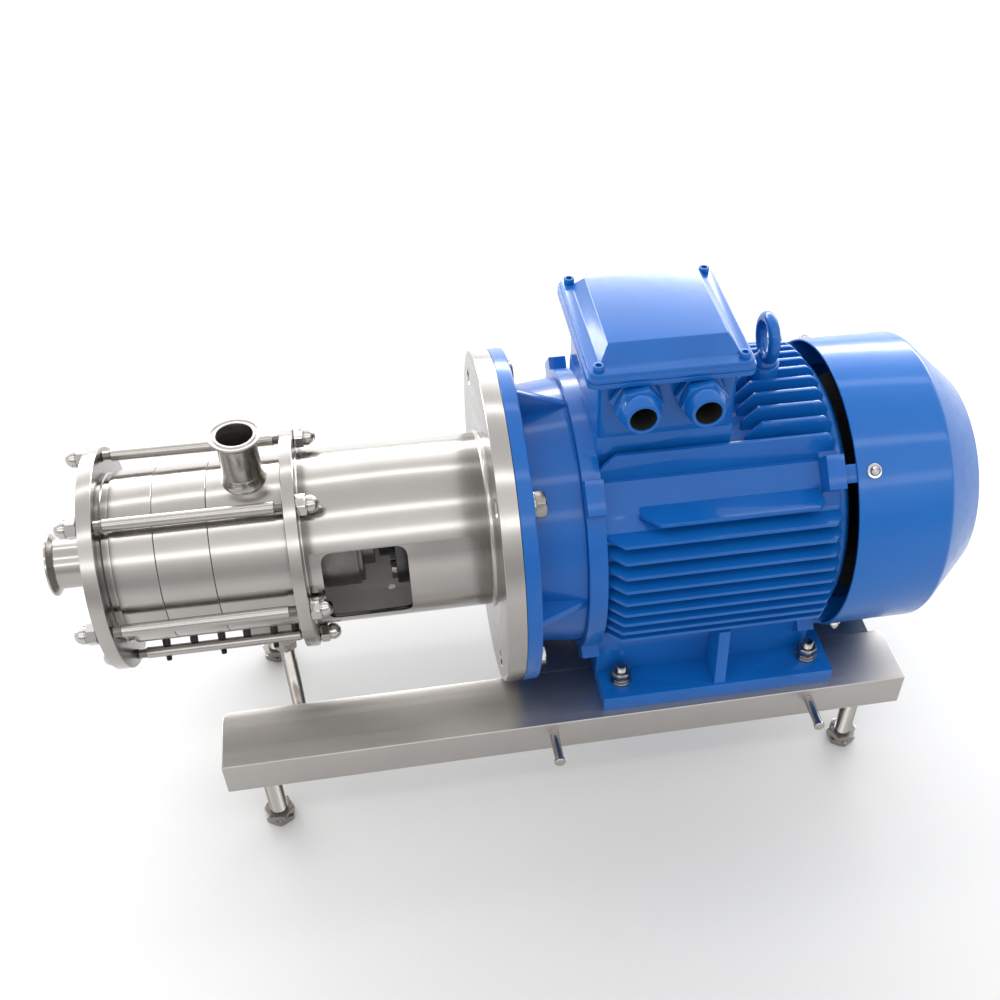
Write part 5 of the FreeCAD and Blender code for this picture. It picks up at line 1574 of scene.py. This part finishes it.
    def foot_bolts(self) -> None:
        """Bolts that come up through the rails and the feet."""
        low = self.foot_z[0]
        head = moved(hexagon("head", self.nut_across, 7.5, both_ends=False), (-4, 0, 0), way=INWARD)
        profile = [(-5, 0), (-5, self.stud_r)] + thread(20, 41.2, self.stud_r, 1.6, 0.7)
        shank = turn("shank", profile + [(42, self.stud_r - 1), (42, 0)], 32, closed=False)
        bolts = repeated(gathered("bolt", [head, shank]),
                         [{"place": (x, side * self.hole_y, low), "way": UP}
                          for x in self.hole_x for side in SIDES])
        dress("foot_bolts", bolts, Coat.ZINC, Slot.BRIGHT)

    def rear_shield(self) -> None:
        """Plain shield at the fan end with the bosses that carry the cover."""
        x = self.body[1]
        shield = turn("shield", rounded([(x - 6, 117), (x - 6, self.bore_r), (x, self.bore_r), (x, 140, 0.8),
                                         (x + 6, 140, 1.5), (x + 12, 132, 1.5), (x + 12, 52, 2),
                                         (x + 20, 52, 1.5), (x + 20, 24), (x + 9, 24), (x + 9, 42.6),
                                         (x - 10, 42.6), (x - 10, 52), (x + 2, 52), (x + 2, 117)]), 120)
        half = self.boss_half
        top = math.sqrt((self.cover_r - self.cover_t - 0.05) ** 2 - half ** 2)
        bosses = repeated(brick("boss", (x + 0.1, -half, 128), (x + 47, half, top)),
                          [{"turned": angle} for angle in self.cover_angles])
        boolean(shield, gathered("bosses", bosses), Work.JOIN, True)
        soften(shield, 1.2, 2, 40.0)
        dress("rear_end_shield", [shield], Coat.CAST_BLUE, Slot.BLUE)

    def fan_cover(self) -> None:
        """Pressed fan cover with its slotted end."""
        mouth, bend, end = self.cover_x
        r, t, end_r = self.cover_r, self.cover_t, self.cover_end_r
        outer = rounded([(mouth, r - 0.9), (mouth + 0.5, r), (bend, r, 3.2), (end, end_r, 3.0), (end, 0)],
                        0.0, 5)
        inner = rounded([(end - t, 0), (end - t, end_r - 1, 2.4), (bend - 0.8, r - t, 2.4), (mouth, r - t)],
                        0.0, 5)
        cover = turn("cover", outer + inner, 160)
        slots = []
        for low, high, count in self.slot_rings:
            half = self.slot_half
            outline = rounded([(-half, low), (half, low), (half, high), (-half, high)], 3.4, 4)
            slot = moved(slab("slot", outline, 8.0, Plane.ACROSS), (end - 5, 0, 0))
            slots += repeated(slot, [{"turned": 360.0 / count * k} for k in range(count)])
        boolean(cover, gathered("slots", slots))
        soften(cover, 0.45, 2, 50.0)
        dress("fan_cover", [cover], Coat.SHEET_BLUE, Slot.BLUE, smooth=38.0)

    def cover_screws(self) -> None:
        """Button head screws with washers."""
        seat = self.cover_r + 0.3
        top = seat + 1.6
        outline = rounded([(seat, 0), (seat, 7.5, 0.3), (top, 7.5, 0.5), (top, 0)])
        washer = turn("washer", outline, 36, closed=False)
        crown, socket = seat + 6.5, seat + 4.2
        profile = [(top - 0.1, 0), (top - 0.1, 5.2), (top + 1.2, 5.3), (top + 2.8, 4.7), (top + 4.2, 3.4),
                   (crown, 2.6), (crown, 2.3), (socket, 2.2), (socket, 0)]
        head = turn("head", profile, 30, closed=False)
        shank = bar("shank", seat - 16.8, seat + 0.2, 3, 20)
        screws = repeated(gathered("screw", [washer, head, shank]),
                          [{"place": (self.screw_x, 0, 0), "way": UP, "turned": angle}
                           for angle in self.cover_angles])
        dress("fan_cover_screws", screws, Coat.POLISHED, Slot.BRIGHT)


@dataclass
class TerminalBox:
    """Terminal box with its lid, screws, glands, and the lifting eye behind it."""

    x: float = 149.0
    length: float = 132.0
    width: float = 142.0
    wall: float = 6.0
    low: float = 150.0
    top: float = 221.0
    rim: float = 5.0
    lid: tuple[float, float] = (158.0, 169.0)
    lid_round: float = 10.0
    lid_top: float = 230.0
    panel: tuple[float, float, float] = (112.0, 112.0, 245.0)
    slope: tuple[float, float] = (11.0, 14.5)
    screw_inset: float = 11.0
    gland_x: tuple[float, float] = (117.5, 178.5)
    gland_z: float = 194.0
    gland_hole_r: float = 20.1
    gland_bore_r: float = 12.6
    liner_t: float = 0.27
    eye_x: float = 266.0
    eye_z: float = 196.0
    eye_seat: float = 168.0
    eye_r: float = 20.0
    eye_bar_r: float = 6.0

    def build(self) -> None:
        """Make the box, its lid, screws and glands, and the eye."""
        self.shell()
        self.cover()
        self.screws()
        self.glands()
        self.liners()
        self.eye()

    def plate(self, length: float, width: float, radius: float, low: float, thick: float) -> bpy.types.Object:
        """Rounded rectangular plate about the box's middle.

        Args:
            length: size along the shaft.
            width: size across it.
            radius: how far back the corners are cut.
            low: height of its underside.
            thick: thickness.

        Returns:
            The plate.
        """
        a, b, c = self.x - length / 2, self.x + length / 2, width / 2
        outline = rounded([(a, -c), (b, -c), (b, c), (a, c)], radius, 5)
        return moved(slab("plate", outline, thick), (0, 0, low))

    def shell(self) -> None:
        """Box with its wider rim."""
        gap = 0.02
        box = self.plate(self.length, self.width, 5.0, self.low + gap, self.top - self.low - gap)
        boolean(box, self.plate(*self.lid, self.lid_round, self.top - self.rim - gap, self.rim), Work.JOIN)
        inside = (self.length - 2 * self.wall, self.width - 2 * self.wall)
        boolean(box, self.plate(*inside, 4.0, self.low + self.wall, 80.0))
        for x in self.gland_x:
            hole = bar("hole", 0, 10, self.gland_hole_r, 40)
            boolean(box, moved(hole, (x, -self.width / 2 - 2, self.gland_z), way=(0, 1, 0)))
        soften(box, 1.3, 3, 40.0)
        dress("terminal_box", [box], Coat.BOX_BLUE, Slot.BLUE)

    def cover(self) -> None:
        """Lid with a stepped edge and a raised panel."""
        lower = self.plate(*self.lid, self.lid_round, self.top + 0.15, 4.2)
        step = self.plate(self.lid[0] - 4, self.lid[1] - 4, self.lid_round - 1, self.top + 4.0, 5.0)
        length, width, top = self.panel
        foot_l, foot_w = length + 2 * self.slope[0], width + 2 * self.slope[1]
        panel = brick("panel", (self.x - foot_l / 2, -foot_w / 2, self.lid_top - 1),
                      (self.x + foot_l / 2, foot_w / 2, top))
        edit_faces(panel, lambda face: face.normal.z > 0.9)
        middle = Vector((self.x, 0, top)) * MM
        bpy.ops.transform.resize(value=(length / foot_l, width / foot_w, 1), center_override=middle)
        bpy.ops.object.mode_set(mode="OBJECT")
        boolean(lower, step, Work.JOIN)
        boolean(lower, panel, Work.JOIN)
        soften(lower, 1.6, 3, 25.0)
        dress("terminal_lid", [lower], Coat.BOX_BLUE, Slot.BLUE)

    def screws(self) -> None:
        """Socket screws in the lid's corners."""
        profile = [(-5, 0), (-5, 2.4), (0, 2.4), (0, 5.0), (0.3, 5.2), (4.2, 5.2), (4.9, 4.8), (5.0, 4.2),
                   (5.0, 2.9), (2.2, 2.6), (2.0, 0)]
        along, across = (size / 2 - self.screw_inset for size in self.lid)
        screws = repeated(turn("screw", profile, 32, closed=False),
                          [{"place": (self.x + i * along, j * across, self.lid_top), "way": UP}
                           for i in SIDES for j in SIDES])
        dress("lid_screws", screws, Coat.BOX_BLUE, Slot.BLUE)

    def glands(self) -> None:
        """Cable glands on the near wall."""
        bore = self.gland_bore_r
        collar = hexagon("collar", 44.0, 9.0, bore=bore - 0.05)
        grip = moved(hexagon("grip", 40.0, 12.0, bore=bore - 0.05), (9, 0, 0), roll=12)
        cap = turn("cap", rounded([(20, bore), (20, 19.7, 0.8), (25, 19.6, 3.0), (31.5, 17.4, 3.0),
                                   (35, 15.8, 0.8), (35, bore, 0.5)], 0.0, 4), 48)
        neck = turn("neck", [(-12, bore), (-12, 19.8), (0.5, 19.8), (0.5, bore)], 40)
        nut = moved(hexagon("nut", 50.0, 5.0, bore=19.9), (-11, 0, 0))
        glands = repeated(gathered("gland", [collar, grip, cap, neck, nut]),
                          [{"place": (x, -self.width / 2, self.gland_z), "way": NEARWARD, "roll": x}
                           for x in self.gland_x])
        dress("cable_glands", glands, Coat.CAST_BLUE, Slot.BLUE)

    def liners(self) -> None:
        """Thin black rubber rings that line the glands, as a gland's own insert does; their black also
        deepens the shade in the bores, painted shade.
        """
        inner = self.gland_bore_r - 0.12
        outer = inner + self.liner_t
        liner = turn("liner", rounded([(-11.8, inner), (-11.8, outer), (33.6, outer), (33.6, inner)]), 48)
        liners = repeated(liner, [{"place": (x, -self.width / 2, self.gland_z), "way": NEARWARD}
                                  for x in self.gland_x])
        # partly a real rubber insert, partly painted shade that darkens the bores
        finish(gathered("gland_liners_with_painted_shade", liners), Coat.RUBBER, Slot.RUBBER, Body.STAND)

    def eye(self) -> None:
        """Lifting eye: ring, collar and shank."""
        clear()
        bpy.ops.mesh.primitive_torus_add(major_radius=self.eye_r * MM, minor_radius=self.eye_bar_r * MM,
                                         major_segments=64, minor_segments=24,
                                         location=(self.eye_x * MM, 0, self.eye_z * MM),
                                         rotation=(0, math.pi / 2, 0))
        ring = settle(bpy.context.active_object)
        profile = rounded([(-15, 0), (-15, 6), (0, 6), (0, 13, 0.8), (3, 13, 1.2), (8, 8.6, 2.5),
                           (13, 6.5, 1), (13, 0)], 0.0, 4)
        collar = turn("collar", profile, 40, closed=False)
        boolean(ring, moved(collar, (self.eye_x, 0, self.eye_seat), way=UP), Work.JOIN)
        soften(ring, 1.4, 3, 28.0)
        dress("eyebolt", [ring], Coat.CAST_BLUE, Slot.BLUE, smooth=50.0)


@dataclass
class Insides:
    """Solids that keep their own shape and only get a finish."""

    coats: dict[str, Coat] = field(default_factory=lambda: {
        "cross_members": Coat.CROSS, "pump_shaft": Coat.MACHINED, "motor_shaft": Coat.MACHINED,
        "stator_1": Coat.TURNED, "stator_2": Coat.TURNED, "stator_3": Coat.TURNED,
        "rotor_1": Coat.TURNED, "rotor_2": Coat.TURNED, "rotor_3": Coat.TURNED,
        "rotor_spacers": Coat.TURNED, "rotor_lock_nut": Coat.POLISHED, "casing_seals": Coat.RUBBER,
        "seal_seat": Coat.CARBON, "seal_rotating_ring": Coat.CARBON, "bearing_inner_rings": Coat.MACHINED,
        "bearing_outer_rings": Coat.MACHINED, "stator_core": Coat.CORE, "rotor_core": Coat.CORE,
        "windings": Coat.COPPER, "cooling_fan": Coat.FAN, "terminal_board": Coat.BOARD})

    def dress(self) -> None:
        """Give each solid that stays its finish."""
        for name, coat in self.coats.items():
            obj = bpy.data.objects[name]
            obj.data.materials.clear()
            obj.data.materials.append(coat.material())
            LOG.info("%s keeps its solid", name)


@dataclass
class Studio:
    """Pale floor with painted shade towards the near side, soft light and the camera at the photograph's
    angle.
    """

    eye: Place = (-115.5, -942.5, 860.0)
    yaw: float = 0.20273
    pitch: float = 0.79983
    roll: float = -0.02819
    lens: float = 43.218
    shift: Point = (-0.07249, 0.09285)
    sky: tuple[Point, ...] = (
        (-180, 0.7), (-95, 1.05), (-88, 1.05), (-83, 1.5), (-78, 4.0), (-75, 16.0), (-69, 16.0), (-65, 6.0),
        (-61, 3.4), (-56, 2.4), (-50, 2.1), (-45, 1.6), (-38, 1.25), (-32, 1.3), (-30, 3.8), (-26, 3.8),
        (-24, 1.25), (-8, 1.05), (14, 1.1), (19, 1.25), (20.5, 3.8), (24.5, 3.8), (26, 1.2), (38, 1.3),
        (48, 1.4), (50, 3.3), (55, 3.3), (57, 1.3), (68, 0.9), (80, 0.65), (180, 0.6))
    peak: float = 16.0
    plain: float = 1.0
    even_ends: Point = (0.72, 0.96)
    floor_y: Point = (-3.6, -0.8)
    # grey of the painted shade on the floor's near side, reached over floor_y
    floor_painted_shade: Colour = (0.38, 0.38, 0.38)
    floor_colour: Colour = (0.56, 0.56, 0.56)

    def build(self) -> None:
        """Set the camera, the light and the floor."""
        self.camera()
        self.world()
        self.floor()

    def camera(self) -> None:
        """Camera that was fitted to the photograph."""
        a, b, c = self.yaw, self.pitch, self.roll
        ahead = Vector((math.sin(a) * math.cos(b), math.cos(a) * math.cos(b), -math.sin(b)))
        right = Vector((math.cos(a), -math.sin(a), 0.0))
        down = ahead.cross(right)
        across = right * math.cos(c) + down * math.sin(c)
        under = down * math.cos(c) - right * math.sin(c)
        turned = Matrix((across, -under, -ahead)).transposed()
        clear()
        bpy.ops.object.camera_add(location=DATUM + Vector(self.eye) * MM, rotation=turned.to_euler())
        camera = bpy.context.active_object
        camera.data.sensor_width = 36.0
        camera.data.lens = self.lens
        camera.data.shift_x, camera.data.shift_y = self.shift
        bpy.context.scene.camera = camera

    def world(self) -> None:
        """Soft light all round, with long lamps overhead that run along the shaft.

        The brightness goes by the angle from straight up towards the near side, and evens out
        towards both ends.
        """
        scene = bpy.context.scene
        scene.view_settings.view_transform = "Standard"
        scene.world = bpy.data.worlds.new("studio")
        scene.world.use_nodes = True
        tree = Nodes(scene.world.node_tree)
        ahead = tree.add("ShaderNodeTexCoord", {}, {}).outputs["Generated"]
        along, away, upward = tree.add("ShaderNodeSeparateXYZ", {}, {"Vector": ahead}).outputs
        angle = tree.maths("ARCTAN2", tree.maths("MULTIPLY", away, -1.0), upward)
        turned = tree.maths("MULTIPLY_ADD", angle, 1.0 / math.tau, 0.5)
        ramp = tree.add("ShaderNodeValToRGB", {}, {"Fac": turned})
        self.set_stops(ramp.color_ramp.elements)
        start, end = self.even_ends
        ends = tree.add("ShaderNodeMapRange", {"interpolation_type": "SMOOTHSTEP"},
                        {"Value": tree.maths("ABSOLUTE", along), "From Min": start, "From Max": end})
        even = self.plain / self.peak
        mix = tree.add("ShaderNodeMix", {"data_type": "RGBA"},
                       {"Factor": ends.outputs[0], 6: ramp.outputs[0], 7: (even, even, even, 1.0)})
        background = tree.nodes["Background"]
        tree.feed(background.inputs["Color"], mix.outputs[2])
        tree.feed(background.inputs["Strength"], self.peak)

    def set_stops(self, stops: bpy.types.ColorRampElements) -> None:
        """Set the brightness round the shaft's axis.

        Args:
            stops: stops of the ramp, two of which are there already.
        """
        for index, (degrees, light) in enumerate(self.sky):
            place = degrees / 360.0 + 0.5
            stop = stops[index] if index < 2 else stops.new(place)
            stop.position = place
            share = light / self.peak
            stop.color = (share, share, share, 1.0)

    def floor(self) -> None:
        """Pale floor, painted darker towards the near side as painted shade that the steel's lower faces
        reflect.
        """
        clear()
        bpy.ops.mesh.primitive_plane_add(size=40.0, location=(0, 0, 0))
        floor = bpy.context.active_object
        floor.name = "floor"
        tree = Tree("pale_floor")
        across = tree.add("ShaderNodeSeparateXYZ", {}, {"Vector": tree.object_place}).outputs[1]
        start, end = self.floor_y
        away = tree.add("ShaderNodeMapRange", {"interpolation_type": "SMOOTHSTEP"},
                        {"Value": across, "From Min": start, "From Max": end})
        # painted shade: the floor darkens towards the near side so that the steel's lower faces reflect a
        # darker floor
        colour = tree.blend(away.outputs[0], self.floor_painted_shade, self.floor_colour)
        tree.surface({"Base Color": colour, "Roughness": 0.55})
        floor.data.materials.append(tree.material)


def main() -> None:
    """Make the whole scene."""
    logging.basicConfig(level=logging.INFO, format="%(name)s: %(message)s")
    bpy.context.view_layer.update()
    Studio().build()
    for part in (Base(), PumpHead(), Lantern(), Motor(), TerminalBox()):
        part.build()
        LOG.info("%s done", type(part).__name__)
    Insides().dress()
    clear()


if __name__ == "__main__":
    main()
